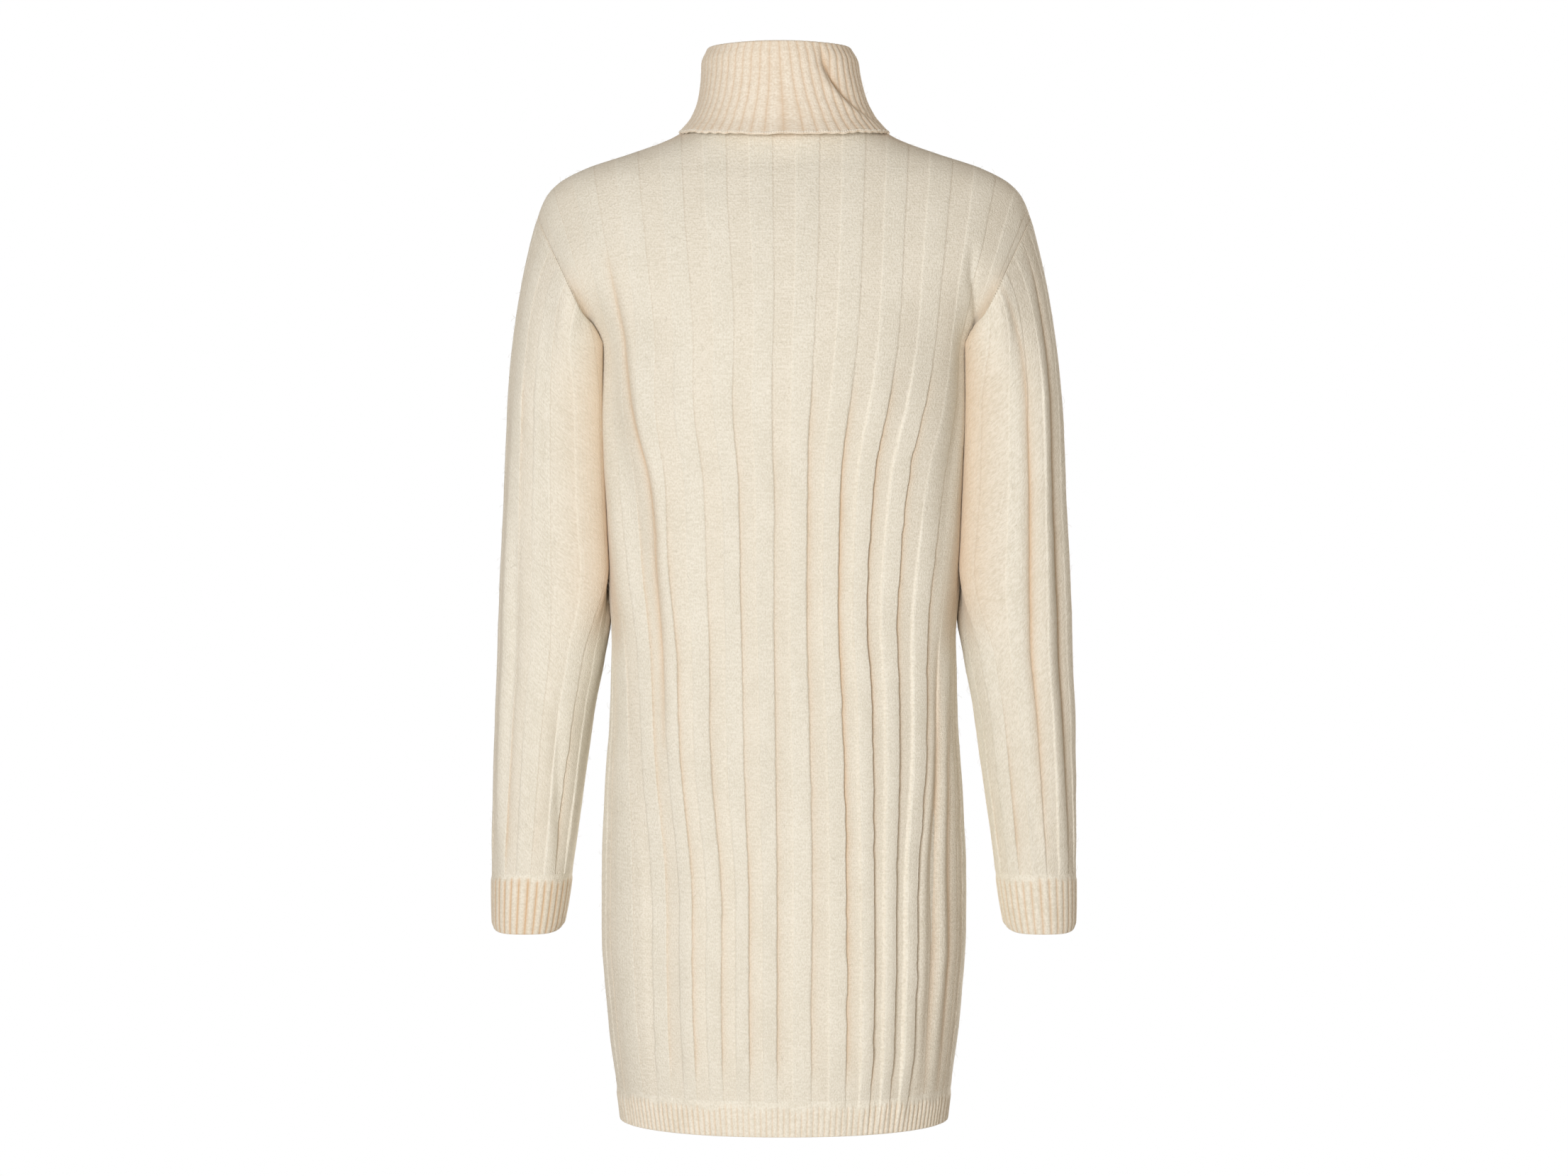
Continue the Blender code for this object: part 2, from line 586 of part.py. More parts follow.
def cuff(name, side, material):
    """The finer rib that is knitted on to a sleeve's end, drawn in a little at its edge."""
    mirror = np.array([side, 1, 1])
    rows = ((CUFF_TOP - SEAM / 2, 0.0), (-0.662, 0.0), (CUFF_END, 0.0014))

    def faces(turn, raised):
        points = np.array([tube_row(turn, height) for height, _ in rows])
        up = normals(points, closed=True)
        up[..., 2] = 0
        up = unit(up)
        points = points - up * np.array([drawn for _, drawn in rows])[:, None, None]
        return points + up * (raised * FINE_RIB)[None, :, None], points - up * RIB_CLOTH

    turn = np.arange(2 * CUFF_RIBS) / (2 * CUFF_RIBS)
    plain = np.arange(CUFF_RIBS) / CUFF_RIBS
    outer, _ = faces(turn, np.arange(2 * CUFF_RIBS) % 2)
    _, inner = faces(plain, np.zeros_like(plain))
    outside = [(row * mirror, turn) for row in outer]
    tube_wall(name, outside, [(row * mirror, plain) for row in inner], material)


def neck_seam():
    """The neck seam from the centre back by the wearer's right: its points, the direction away from the
    panels, and the cloth's normal."""
    rib, _ = rib_columns(-RIBS, RIBS)
    rib = rib[np.abs(rib) <= NECK_RIBS + 0.001]
    every = np.array([-RIBS, *rib_columns(-RIBS, RIBS)[0], RIBS])
    found = []
    keep = np.abs(every) <= NECK_RIBS + 0.001
    for piece in ("back", "front"):
        _, inner, up = panel_faces(piece, every, np.zeros_like(every))
        found.append((inner[0, keep] + up[0, keep] * CLOTH, up[0, keep]))
    (back, back_up), (front, front_up) = found
    half = len(rib) // 2
    right = ((back[-1] + front[-1]) / 2, unit(back_up[-1] + front_up[-1]))
    left = ((back[0] + front[0]) / 2, unit(back_up[0] + front_up[0]))
    points = np.array([*back[half:-1], right[0], *front[-2:0:-1], left[0], *back[1:half]])
    up = np.array([*back_up[half:-1], right[1], *front_up[-2:0:-1], left[1], *back_up[1:half]])
    tangent = unit(np.roll(points, -1, axis=0) - np.roll(points, 1, axis=0))
    up = unit(up - tangent * np.sum(up * tangent, axis=1, keepdims=True))
    away = unit(np.cross(tangent, up))
    return points, away * np.sign(away[:, 2:]), up


def collar(material):
    """One tube folded over once: from the free edge up the outside, over the fold, and down inside to the
    neck seam."""
    seam, away, seam_up = neck_seam()
    seam = seam + away * SEAM
    angle = np.arctan2(seam[:, 0] / NECK_POINT[0], -seam[:, 1] / NECK_DEPTH)
    at = np.unwrap(angle) / (2 * math.pi)
    half, bend = RIB_CLOTH / 2, COLLAR_LAYERS / 2

    def rows_at(turn):
        """Middle of the cloth, row by row, and the direction to its seen side."""
        sine, cosine = np.sin(2 * math.pi * turn), np.cos(2 * math.pi * turn)
        behind = cosine > 0

        def level(height, inward, rise=0.0):
            names = ("half_width", "back", "front", "square", "dip", "lean")
            width, back, front, square, dip, lean = (smooth_at(COLLAR, name, height) for name in names)
            fall = np.where(behind, COLLAR_DIP["back"], COLLAR_DIP["front"]) * cosine**2
            sideways = np.sign(sine) * np.abs(sine) ** (2 / square)
            backward = np.sign(cosine) * np.abs(cosine) ** (2 / square)
            return np.stack(
                [
                    (width - inward) * sideways + COLLAR_LEAN[0] * lean,
                    -(np.where(behind, back, front) - inward) * backward + COLLAR_LEAN[1] * lean,
                    height + rise - dip * fall,
                ],
                1,
            )

        rows = [level(height, half) for height in COLLAR["height"]]
        top = COLLAR["height"][-1]
        for degrees in (60, 120, 180):
            swing = math.radians(degrees)
            rows.append(level(top, half + bend * (1 - math.cos(swing)), bend * math.sin(swing)))
        start = rows[-1]
        spot = (turn - at[0]) % 1
        end = around(at - at[0], seam, spot) - around(at - at[0], seam_up, spot) * half
        leave = around(at - at[0], away, spot)
        length = np.linalg.norm(end - start, axis=1, keepdims=True)
        shift = smooth_at(COLLAR, "lean", 0.05) - smooth_at(COLLAR, "lean", top)
        downward = unit(np.array([[COLLAR_LEAN[0] * shift, COLLAR_LEAN[1] * shift, 0.05 - top]]))
        first = downward * length * 0.9
        last = -leave * length * 0.5
        for w in NECK_RINGS:
            held = start * (1 + 2 * w) * (1 - w) ** 2 + end * w * w * (3 - 2 * w)
            rows.append(held + first * w * (1 - w) ** 2 + last * w * w * (w - 1))
        rows = np.array([*rows, end])
        seen = -normals(rows, closed=True)
        lift = fold_lift("collar", turn * COLLAR_RIBS, rows[..., 2], COLLAR_RIB)
        outward = unit(rows * np.array([1, 1, 0]))
        return rows + outward * lift[..., None], seen

    fine = np.arange(2 * COLLAR_RIBS) / (2 * COLLAR_RIBS)
    plain = np.arange(COLLAR_RIBS) / COLLAR_RIBS
    middle, seen = rows_at(fine)
    high = (np.arange(2 * COLLAR_RIBS) % 2) * FINE_RIB
    ribbed = middle + seen * (half + high)[None, :, None]
    middle, seen = rows_at(plain)
    fold = len(COLLAR["height"]) + 3
    outside = [(row, fine) for row in ribbed[:fold]]
    outside += [(row, plain) for row in (middle + seen * half)[fold:-1]]
    inside = [(row, plain) for row in (middle - seen * half)[:-1]]
    outside.append((seam - seam_up * RIB_CLOTH, at))
    inside.append((seam, at))
    tube_wall("collar", outside, inside, material)


def cloth_material(name, colour):
    material = bpy.data.materials.new(name)
    material.use_nodes = True
    shader = material.node_tree.nodes["Principled BSDF"]
    shader.inputs["Base Color"].default_value = (*colour, 1)
    shader.inputs["Roughness"].default_value = 0.92
    return material


for old in list(bpy.data.objects):
    bpy.data.objects.remove(old, do_unlink=True)

CREAM = (0.78, 0.72, 0.60)
ROSY = (0.75, 0.67, 0.53)

panel("back", cloth_material("back_knit", CREAM))
panel("front", cloth_material("front_knit", CREAM))
hem_rib("hem_rib_back", "back", cloth_material("hem_back_knit", CREAM))
hem_rib("hem_rib_front", "front", cloth_material("hem_front_knit", CREAM))
for name, side in (("right", 1), ("left", -1)):
    sleeve(f"sleeve_{name}", side, cloth_material(f"sleeve_{name}_knit", CREAM))
    cuff(f"cuff_{name}", side, cloth_material(f"cuff_{name}_knit", CREAM))
collar(cloth_material("collar_knit", ROSY))
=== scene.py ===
import math

import bmesh
import bpy
import numpy as np
from mathutils.bvhtree import BVHTree
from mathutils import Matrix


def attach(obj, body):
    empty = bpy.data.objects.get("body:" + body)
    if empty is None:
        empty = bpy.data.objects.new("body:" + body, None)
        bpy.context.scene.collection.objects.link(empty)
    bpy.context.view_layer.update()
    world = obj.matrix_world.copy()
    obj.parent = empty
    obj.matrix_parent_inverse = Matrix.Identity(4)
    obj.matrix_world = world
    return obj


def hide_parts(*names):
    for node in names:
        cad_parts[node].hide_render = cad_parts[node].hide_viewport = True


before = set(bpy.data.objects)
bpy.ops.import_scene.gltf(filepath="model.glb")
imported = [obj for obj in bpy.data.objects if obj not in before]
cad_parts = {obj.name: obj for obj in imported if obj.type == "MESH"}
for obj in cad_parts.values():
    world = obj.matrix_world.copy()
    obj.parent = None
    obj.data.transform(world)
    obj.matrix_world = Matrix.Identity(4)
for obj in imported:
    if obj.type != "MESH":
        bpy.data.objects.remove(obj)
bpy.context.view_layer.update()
print("frame loaded, pieces:", len(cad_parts))

cloth = {
    "wide": 0.0021,  # thickness of the wide rib between its faces
    "fine": 0.0018,  # thickness of collar, cuffs and hem
    "seam": 0.0003,  # gap between linked pieces
    "edge": 0.0013,  # how far in from a linked seam or a free edge the cloth rounds off
    "edgeLeft": 0.62,  # share of the thickness left there
    "join": 0.0006,  # the same where a fine rib is knitted on
    "joinLeft": 1.0,
    "uneven": 0.00030,  # how far the surface wanders by itself
    "fadeTop": 0.006,  # the relief fades in from a seam at the top over this
    "fadeSide": 0.004,  # and from a side seam
    "thinning": 0.006,  # down a fine rib the cloth grows thinner over this
    "aboveJoin": 0.0035,  # even rows stop so far above a fine rib
    "belowJoin": 0.00003,  # and the fine rib's first row lies so far below the join
}

seeds = {"back": 11, "front": 12, "sleeveRight": 21, "sleeveLeft": 22, "hem": 31, "cuff": 32}
seedsOn = {"uneven": 10, "drift": 30, "small": 50}  # added to a piece's own

body = {
    "neckPoint": (0.072, 0.008),  # x and z where neck seam and shoulder seam meet
    "neckDip": {"back": 0.012, "front": 0.036},
    "underarm": -0.182,
    "yokeLong": 0.180,  # metres down the yoke
    "seamTop": (0.212, -0.072),  # x and z of the top of the armhole
    "armpitRise": 0.5,
    "armpitFull": 0.62,  # the lower this is, the later the armhole seam turns under
    "hemTop": -0.815,
    "hem": -0.845,
    "rows": 190,  # below the yoke
    "ribs": 6,  # wide ribs in half a panel
    "neckRibs": 1.81,  # from the centre to the neck point
    "flatRib": 0.039,  # width of a rib pulled flat
    "ribHeight": 0.00055,  # relief of a flat rib
    "ribGather": 0.0085,  # more relief for each share of its width that a rib has lost
    "settled": -0.110,  # below this the rows are evened out
    "drift": 0.055,  # the ribs leave their lines by this share of a rib
    "driftRows": (6, 20, 16),  # rows at the ends that keep their lines, and the fades at top and bottom
    "waver": 0.018,  # the stripes' edges wander by this share of a rib
    "lean": 0.42,  # how far the gathered ribs at the right hang over, for each unit of height
    "hang": 0.0010,  # only ribs higher than this hang over
    "sideFlat": (4.6, 5.0, 0.7),  # ribs beyond which the side is flat, and then shaded, and the fade
    "collarShade": (0.004, 0.0035, 1.2, 0.8),  # full to here, how it falls off, ribs past the neck, fade
    "pressed": (-0.285, 0.120, 0.060),  # where sleeve and side meet: middle, half length and fade
    "frontGather": 0.0024,  # more relief on the front below the chest
    "hemFade": (0.045, 0.34, 0.06),  # length above the hem rib, shares of the relief at its top and edge
}

arm = {
    "tube": -0.235,  # height below which the sleeve is a tube of its own
    "capLong": 0.11,  # metres down the cap
    "cuffTop": -0.635,
    "cuffEnd": -0.687,
    "lap": 0.0001,  # the sleeve ends so far below the join
    "rows": 120,  # below the cap
    "ribs": 10,
    "cuffRibs": 32,
    "flatRib": 0.0285,
    "leftShift": 0.20,  # the left sleeve's stripes are turned by this share of a rib
    "clear": 0.0006,  # from the body's side, where the sleeve lies against it
    # where it lies: top and fade, bottom and fade, then in depth the middle, half the reach and the fade
    "touch": (
        (-0.176, 0.010, -0.450, 0.045, 0.000, 0.006, 0.022),
        (-0.148, 0.026, -0.452, 0.085, 0.000, 0.036, 0.024),
    ),
    "cuffFade": (0.035, 0.40, 0.10),  # as the body's hemFade
    "leave": (0.6, 0.4),  # the cap leaves the armhole outward and downward in these shares
    "pull": (0.25, 0.65, 0.9),  # how hard: everywhere, more at the top, and where the cap meets the tube
}

fineRib = {
    "hem": 32,  # ribs in half a panel
    "halfWide": 0.21,  # metres from the centre of the hem to a side seam
    "hemRelief": (0.70, 0.40),  # share of the height in the middle, and more at the sides
    "cuffRelief": 0.8,  # the same at the cuffs
    "height": 0.0010,
    "sharp": 0.36,  # under 1 the ribs are flat and the grooves between them narrow
    "late": 0.0034,  # how far below the wide rib they begin, more or less
    "begin": 0.0045,  # over this length
}

neck = {
    "ribs": 56,
    "ribWidth": 0.0076,
    "dip": {"back": 0.0084, "front": 0.0347},
    "sideDrop": (0.0030, 0.35),  # the free edge falls at once beside the shoulder seams
    "crown": (0.0020, 0.0040),  # how much the fold rises at the centre and at the sides
    "wave": 0.0009,  # the free edge goes up and down by this
    "waveReach": 0.008,  # and the wave fades out so far above it
    "turnBy": 0.05,  # inside, the fold is left with the lean that the outer layer has down to this height
    "relief": (0.38, 0.44, 0.75),  # share of a rib's height at the left, more at the right, and how soon
    "frontRelief": 0.8,  # the same in front
    "lean": (-0.0042, 0.0100),  # shift of the fold in x and y
    "layers": 0.0030,  # distance between the middles of the two layers
}


def table(columns, rows):
    values = np.array(sorted(rows), float)
    return dict(zip(columns.split(), values.T))


yokeTable = table(
    "height halfWidth back front",
    (
        (0.012, 0.066, 0.059, 0.063),
        (0.008, 0.072, 0.060, 0.064),
        (0.000, 0.089, 0.062, 0.067),
        (-0.006, 0.100, 0.064, 0.069),
        (-0.018, 0.133, 0.067, 0.072),
        (-0.0305, 0.171, 0.071, 0.075),
        (-0.043, 0.1945, 0.077, 0.079),
        (-0.055, 0.205, 0.082, 0.083),
        (-0.072, 0.212, 0.089, 0.090),
        (-0.100, 0.2195, 0.098, 0.101),
        (-0.140, 0.2265, 0.107, 0.115),
        (-0.182, 0.2310, 0.112, 0.125),
        (-0.205, 0.2310, 0.112, 0.1265),
    ),
)

bodyTable = table(
    "height halfWidth back front backSquare frontSquare sideSeam",
    (
        (-0.182, 0.1585, 0.112, 0.125, 2.3, 2.2, 1.00),
        (-0.226, 0.1580, 0.112, 0.1280, 2.4, 2.2, 1.00),
        (-0.311, 0.1545, 0.101, 0.122, 2.7, 2.3, 0.91),
        (-0.390, 0.1500, 0.092, 0.110, 3.0, 2.4, 0.84),
        (-0.433, 0.1465, 0.092, 0.106, 3.0, 2.4, 0.82),
        (-0.494, 0.1475, 0.098, 0.104, 2.8, 2.4, 0.80),
        (-0.555, 0.1520, 0.108, 0.105, 2.6, 2.4, 0.78),
        (-0.616, 0.1550, 0.116, 0.107, 2.4, 2.3, 0.77),
        (-0.680, 0.1555, 0.117, 0.107, 2.4, 2.3, 0.77),
        (-0.738, 0.1515, 0.113, 0.105, 2.4, 2.3, 0.77),
        (-0.790, 0.1465, 0.107, 0.102, 2.3, 2.3, 0.78),
        (-0.815, 0.1435, 0.104, 0.100, 2.2, 2.3, 0.79),
        (-0.845, 0.1400, 0.102, 0.098, 2.1, 2.3, 0.79),
    ),
)

# where the ribs lie, as shares of the way from the centre back to the side seam
ribsRight = table(
    "height r0 r1 r2 r3 r4 r5 r6",
    (
        (-0.182, 0.0, 0.163, 0.320, 0.480, 0.650, 0.830, 1.0),
        (-0.288, 0.0, 0.133, 0.270, 0.412, 0.563, 0.770, 1.0),
        (-0.390, 0.0, 0.146, 0.291, 0.424, 0.590, 0.770, 1.0),
        (-0.490, 0.0, 0.168, 0.325, 0.470, 0.614, 0.780, 1.0),
        (-0.666, 0.0, 0.178, 0.343, 0.460, 0.566, 0.685, 1.0),
        (-0.815, 0.0, 0.190, 0.370, 0.492, 0.604, 0.722, 1.0),
    ),
)
ribsLeft = table(
    "height r0 r1 r2 r3 r4 r5 r6",
    (
        (-0.182, 0.0, 0.152, 0.306, 0.464, 0.628, 0.815, 1.0),
        (-0.288, 0.0, 0.152, 0.299, 0.459, 0.620, 0.800, 1.0),
        (-0.390, 0.0, 0.168, 0.325, 0.507, 0.655, 0.815, 1.0),
        (-0.490, 0.0, 0.155, 0.333, 0.500, 0.640, 0.800, 1.0),
        (-0.666, 0.0, 0.140, 0.265, 0.405, 0.545, 0.710, 1.0),
        (-0.815, 0.0, 0.145, 0.285, 0.430, 0.575, 0.750, 1.0),
    ),
)

sleeveTable = table(
    "height centreX centreY halfWidth halfDepth",
    (
        (-0.235, 0.1990, 0.000, 0.0380, 0.0530),
        (-0.311, 0.1992, 0.000, 0.0410, 0.0535),
        (-0.372, 0.1990, 0.000, 0.0440, 0.0525),
        (-0.433, 0.1995, 0.001, 0.0460, 0.0510),
        (-0.494, 0.2057, 0.004, 0.0425, 0.0490),
        (-0.555, 0.2113, 0.010, 0.0390, 0.0460),
        (-0.616, 0.2165, 0.017, 0.0357, 0.0420),
        (-0.660, 0.2200, 0.022, 0.0330, 0.0390),
        (-0.687, 0.2224, 0.025, 0.0302, 0.0370),
    ),
)

collarTable = table(
    "height halfWidth back front square dip lean",
    (
        (0.0008, 0.0905, 0.0785, 0.0880, 2.6, 1.00, 0.00),
        (0.0140, 0.0790, 0.0705, 0.0785, 2.6, 0.78, 0.16),
        (0.0300, 0.0720, 0.0660, 0.0725, 2.4, 0.50, 0.40),
        (0.0500, 0.0682, 0.0628, 0.0688, 2.2, 0.20, 0.72),
        (0.0590, 0.0674, 0.0619, 0.0676, 2.15, 0.09, 0.86),
        (0.0685, 0.0628, 0.0605, 0.0660, 2.1, 0.00, 1.00),
    ),
)

# soft folds of each piece: the line that each follows, as rib and height, then its width, its height off the
# cloth, and how sharp it is, 1 for a crease and 2 for a soft roll
folds = {
    "back": (
        (((-4.30, -0.105), (-4.22, -0.145), (-4.15, -0.197), (-3.90, -0.252), (-3.75, -0.290),
          (-3.65, -0.345), (-3.80, -0.431), (-3.90, -0.530)), 0.0060, -0.0042, 1.1),
        (((-4.05, -0.110), (-3.98, -0.170), (-3.72, -0.252), (-3.50, -0.345), (-3.62, -0.431)),
         0.006, 0.0016, 2.0),
        (((-5.05, -0.140), (-4.70, -0.220), (-4.40, -0.330), (-4.15, -0.430)), 0.015, -0.0042, 2.0),
        (((-4.20, -0.120), (-3.85, -0.220), (-3.40, -0.330), (-3.45, -0.560)), 0.014, 0.0038, 2.0),
        (((4.45, -0.098), (4.58, -0.120), (4.68, -0.132), (5.20, -0.157), (5.90, -0.180)),
         0.0050, -0.0042, 1.4),
        (((4.62, -0.150), (4.95, -0.240), (5.00, -0.420)), 0.012, -0.0036, 1.6),
        (((4.10, -0.130), (4.20, -0.230), (4.45, -0.400)), 0.018, 0.0035, 2.0),
        (((4.95, -0.190), (5.05, -0.250), (5.05, -0.460)), 0.015, 0.0030, 2.0),
        (((-5.05, -0.190), (-5.15, -0.250), (-5.10, -0.460)), 0.015, 0.0030, 2.0),
        (((5.20, -0.430), (5.28, -0.560), (5.34, -0.680), (5.32, -0.830)), 0.0058, -0.0062, 1.2),
        (((5.66, -0.480), (5.70, -0.600), (5.74, -0.700), (5.72, -0.830)), 0.0056, -0.0056, 1.25),
        (((5.02, -0.440), (5.08, -0.680), (5.08, -0.822)), 0.0060, 0.0030, 2.0),
        (((5.48, -0.460), (5.54, -0.680), (5.52, -0.822)), 0.0060, 0.0030, 2.0),
        (((-1.75, -0.420), (-1.77, -0.520), (-2.60, -0.790)), 0.012, -0.0022, 2.0),
        (((-3.10, -0.480), (-2.90, -0.830)), 0.020, 0.0026, 2.0),
        (((-4.60, -0.560), (-4.40, -0.830)), 0.015, -0.0026, 2.0),
    ),
    "front": (
        (((4.30, -0.115), (4.22, -0.160), (4.00, -0.240), (3.70, -0.330), (3.60, -0.420)),
         0.0060, -0.0036, 1.3),
        (((-4.40, -0.110), (-4.30, -0.170), (-3.90, -0.270), (-3.70, -0.380), (-3.75, -0.480)),
         0.0060, -0.0040, 1.2),
        (((3.90, -0.160), (3.40, -0.350), (3.30, -0.480)), 0.014, 0.0034, 2.0),
        (((-4.00, -0.160), (-3.40, -0.350), (-3.30, -0.520)), 0.014, 0.0036, 2.0),
        (((3.80, -0.400), (2.60, -0.800)), 0.018, 0.0040, 2.0),
        (((-3.60, -0.440), (-2.40, -0.800)), 0.016, 0.0040, 2.0),
        (((4.75, -0.470), (4.70, -0.812)), 0.0060, -0.0040, 1.6),
        (((1.50, -0.400), (1.20, -0.812)), 0.014, -0.0030, 2.0),
        (((-4.75, -0.500), (-4.60, -0.812)), 0.0080, -0.0036, 1.8),
        (((-1.20, -0.450), (-1.40, -0.812)), 0.018, 0.0030, 2.0),
    ),
    "sleeveRight": (
        (((2.30, -0.120), (2.65, -0.190), (2.80, -0.300), (2.78, -0.610)), 0.0050, -0.0034, 1.3),
        (((3.28, -0.130), (3.30, -0.615)), 0.0075, 0.0034, 2.0),
        (((3.70, -0.100), (3.86, -0.200), (3.95, -0.400), (3.90, -0.620)), 0.0052, -0.0062, 1.25),
        (((4.55, -0.120), (4.60, -0.620)), 0.0090, 0.0026, 2.0),
        (((1.60, -0.400), (2.40, -0.630)), 0.012, -0.0030, 2.0),
        (((7.40, -0.250), (7.10, -0.560)), 0.014, 0.0030, 2.0),
    ),
    "sleeveLeft": (
        (((2.95, -0.140), (2.62, -0.210), (2.48, -0.330), (2.45, -0.500)), 0.0055, -0.0026, 1.4),
        (((3.55, -0.330), (3.50, -0.610)), 0.0050, -0.0030, 1.4),
        (((3.95, -0.220), (3.92, -0.610)), 0.0080, 0.0034, 2.0),
        (((2.10, -0.470), (1.30, -0.640)), 0.0080, -0.0044, 1.6),
        (((7.20, -0.250), (7.60, -0.560)), 0.014, 0.0030, 2.0),
    ),
    "rollCollar": (
        (((4.80, 0.0700), (4.98, 0.0600), (5.38, 0.0490), (5.92, 0.0390), (6.45, 0.0316), (7.30, 0.0220),
          (8.45, 0.0131), (10.0, 0.0088), (12.0, 0.0040)), 0.0070, -0.0046, 1.38),
        (((5.80, 0.0640), (6.90, 0.0400), (8.30, 0.0250), (10.0, 0.0160), (12.6, 0.0090)),
         0.0110, -0.0018, 2.0),
        (((4.20, 0.0540), (4.80, 0.0380), (5.90, 0.0230), (7.20, 0.0120), (8.60, 0.0060)),
         0.0075, 0.0022, 2.0),
    ),
}


def smoothAt(columns, name, at):
    xs, ys = columns["height"], columns[name]
    step = np.diff(xs)
    slope = np.diff(ys) / step
    both = slope[:-1] * slope[1:]
    total = np.where(both > 0, slope[:-1] + slope[1:], 1.0)
    turn = np.concatenate(([slope[0]], np.where(both > 0, 2 * both / total, 0.0), [slope[-1]]))
    at = np.clip(at, xs[0], xs[-1])
    i = np.clip(np.searchsorted(xs, at) - 1, 0, len(step) - 1)
    t = (at - xs[i]) / step[i]
    held = ys[i] * (1 + 2 * t) * (1 - t) ** 2 + ys[i + 1] * t * t * (3 - 2 * t)
    return held + step[i] * (turn[i] * t * (1 - t) ** 2 + turn[i + 1] * t * t * (t - 1))


def ease(t):
    t = np.clip(t, 0, 1)
    return t * t * (3 - 2 * t)


def unit(vectors):
    return vectors / np.maximum(np.linalg.norm(vectors, axis=-1, keepdims=True), 1e-12)


def acrossOf(points, closed):
    if closed:
        return np.roll(points, -1, axis=1) - np.roll(points, 1, axis=1)
    return np.gradient(points, axis=1)


def gridNormals(points, closed):
    return unit(np.cross(np.gradient(points, axis=0), acrossOf(points, closed)))


def runAlong(line):  # metres along a line at each of its points
    return np.concatenate(([0.0], np.cumsum(np.linalg.norm(np.diff(line, axis=0), axis=1))))


def squarer(wave, power):  # turns the sine or cosine of an ellipse into that of a squarer oval
    return np.sign(wave) * np.abs(wave) ** power


def sweep(start, end, first, last, shares):  # rows between two rows, leaving along first, arriving along last
    rows = []
    for w in shares:
        held = start * (1 + 2 * w) * (1 - w) ** 2 + end * w * w * (3 - 2 * w)
        rows.append(held + first * w * (1 - w) ** 2 + last * w * w * (w - 1))
    return rows


def halfGirth(height):  # the section from the centre back round the wearer's right to the centre front
    width, back, front, backSquare, frontSquare, seam = (
        smoothAt(bodyTable, name, height)
        for name in ("halfWidth", "back", "front", "backSquare", "frontSquare", "sideSeam")
    )
    turn = np.linspace(0, math.pi / 2, 361)
    sine, cosine = np.sin(turn), np.cos(turn)
    behind = np.stack([width * sine ** (2 / backSquare), -back * cosine ** (2 / backSquare)], 1)
    before = np.stack([width * cosine ** (2 / frontSquare), front * sine ** (2 / frontSquare)], 1)
    line = np.concatenate([behind, before[1:]])
    along = runAlong(line)
    return line, along, along[len(behind) - 1] * seam


def alongRibs(values, height, toShare):
    found = np.zeros_like(values)
    stops = np.arange(body["ribs"] + 1)
    for side, lines in ((1, ribsRight), (-1, ribsLeft)):
        row = np.array([smoothAt(lines, f"r{i}", height) for i in stops])
        scales = (stops, row) if toShare else (row, stops)
        there = values * side >= 0
        found[there] = side * np.interp(np.abs(values[there]), *scales)
    return found


def ribShare(piece, rib, height):  # the share of the way to the side seam at which a rib lies
    return rib / body["ribs"] if piece == "front" else alongRibs(rib, height, True)


def ribAt(piece, share, height):  # the reverse of ribShare
    return share * body["ribs"] if piece == "front" else alongRibs(share, height, False)


def bodyRow(piece, share, height):
    line, along, seam = halfGirth(height)
    if piece == "back":
        reach = (seam - cloth["seam"] / 2) * np.abs(share)
    else:
        reach = along[-1] - (along[-1] - seam - cloth["seam"] / 2) * np.abs(share)
    x = np.interp(reach, along, line[:, 0]) * np.sign(share)
    y = np.interp(reach, along, line[:, 1])
    return np.stack([x, y, np.full_like(x, height)], 1)


def sideOutward(height):  # the cloth's direction outward at the right side seam
    line, along, seam = halfGirth(height)
    ahead = [np.interp(seam + step, along, column) for column in line.T for step in (-0.001, 0.001)]
    return unit(np.array([ahead[3] - ahead[2], ahead[0] - ahead[1], 0]))


def meetAtSide(up, heights):  # both panels face the same way where they meet
    outward = np.array([sideOutward(height) for height in heights])
    for side, way in ((0, -1), (-1, 1)):
        up[:, side] = outward * np.array([way, 1, 1])


def topEdge(piece, rib):
    size = np.abs(rib)
    neckX, neckZ = body["neckPoint"]
    onNeck = np.clip(size / body["neckRibs"], 0, 1)
    heights = np.linspace(neckZ, body["seamTop"][1], 60)
    line = np.stack([smoothAt(yokeTable, "halfWidth", heights), heights], 1)
    along = runAlong(line)
    reach = np.clip((size - body["neckRibs"]) / (body["ribs"] - body["neckRibs"]), 0, 1) * along[-1]
    inNeck = size < body["neckRibs"]
    x = np.where(inNeck, neckX * onNeck, np.interp(reach, along, line[:, 0]))
    dipped = neckZ - body["neckDip"][piece] * (1 - onNeck**2)
    z = np.where(inNeck, dipped, np.interp(reach, along, line[:, 1]))
    return x * np.sign(rib), z


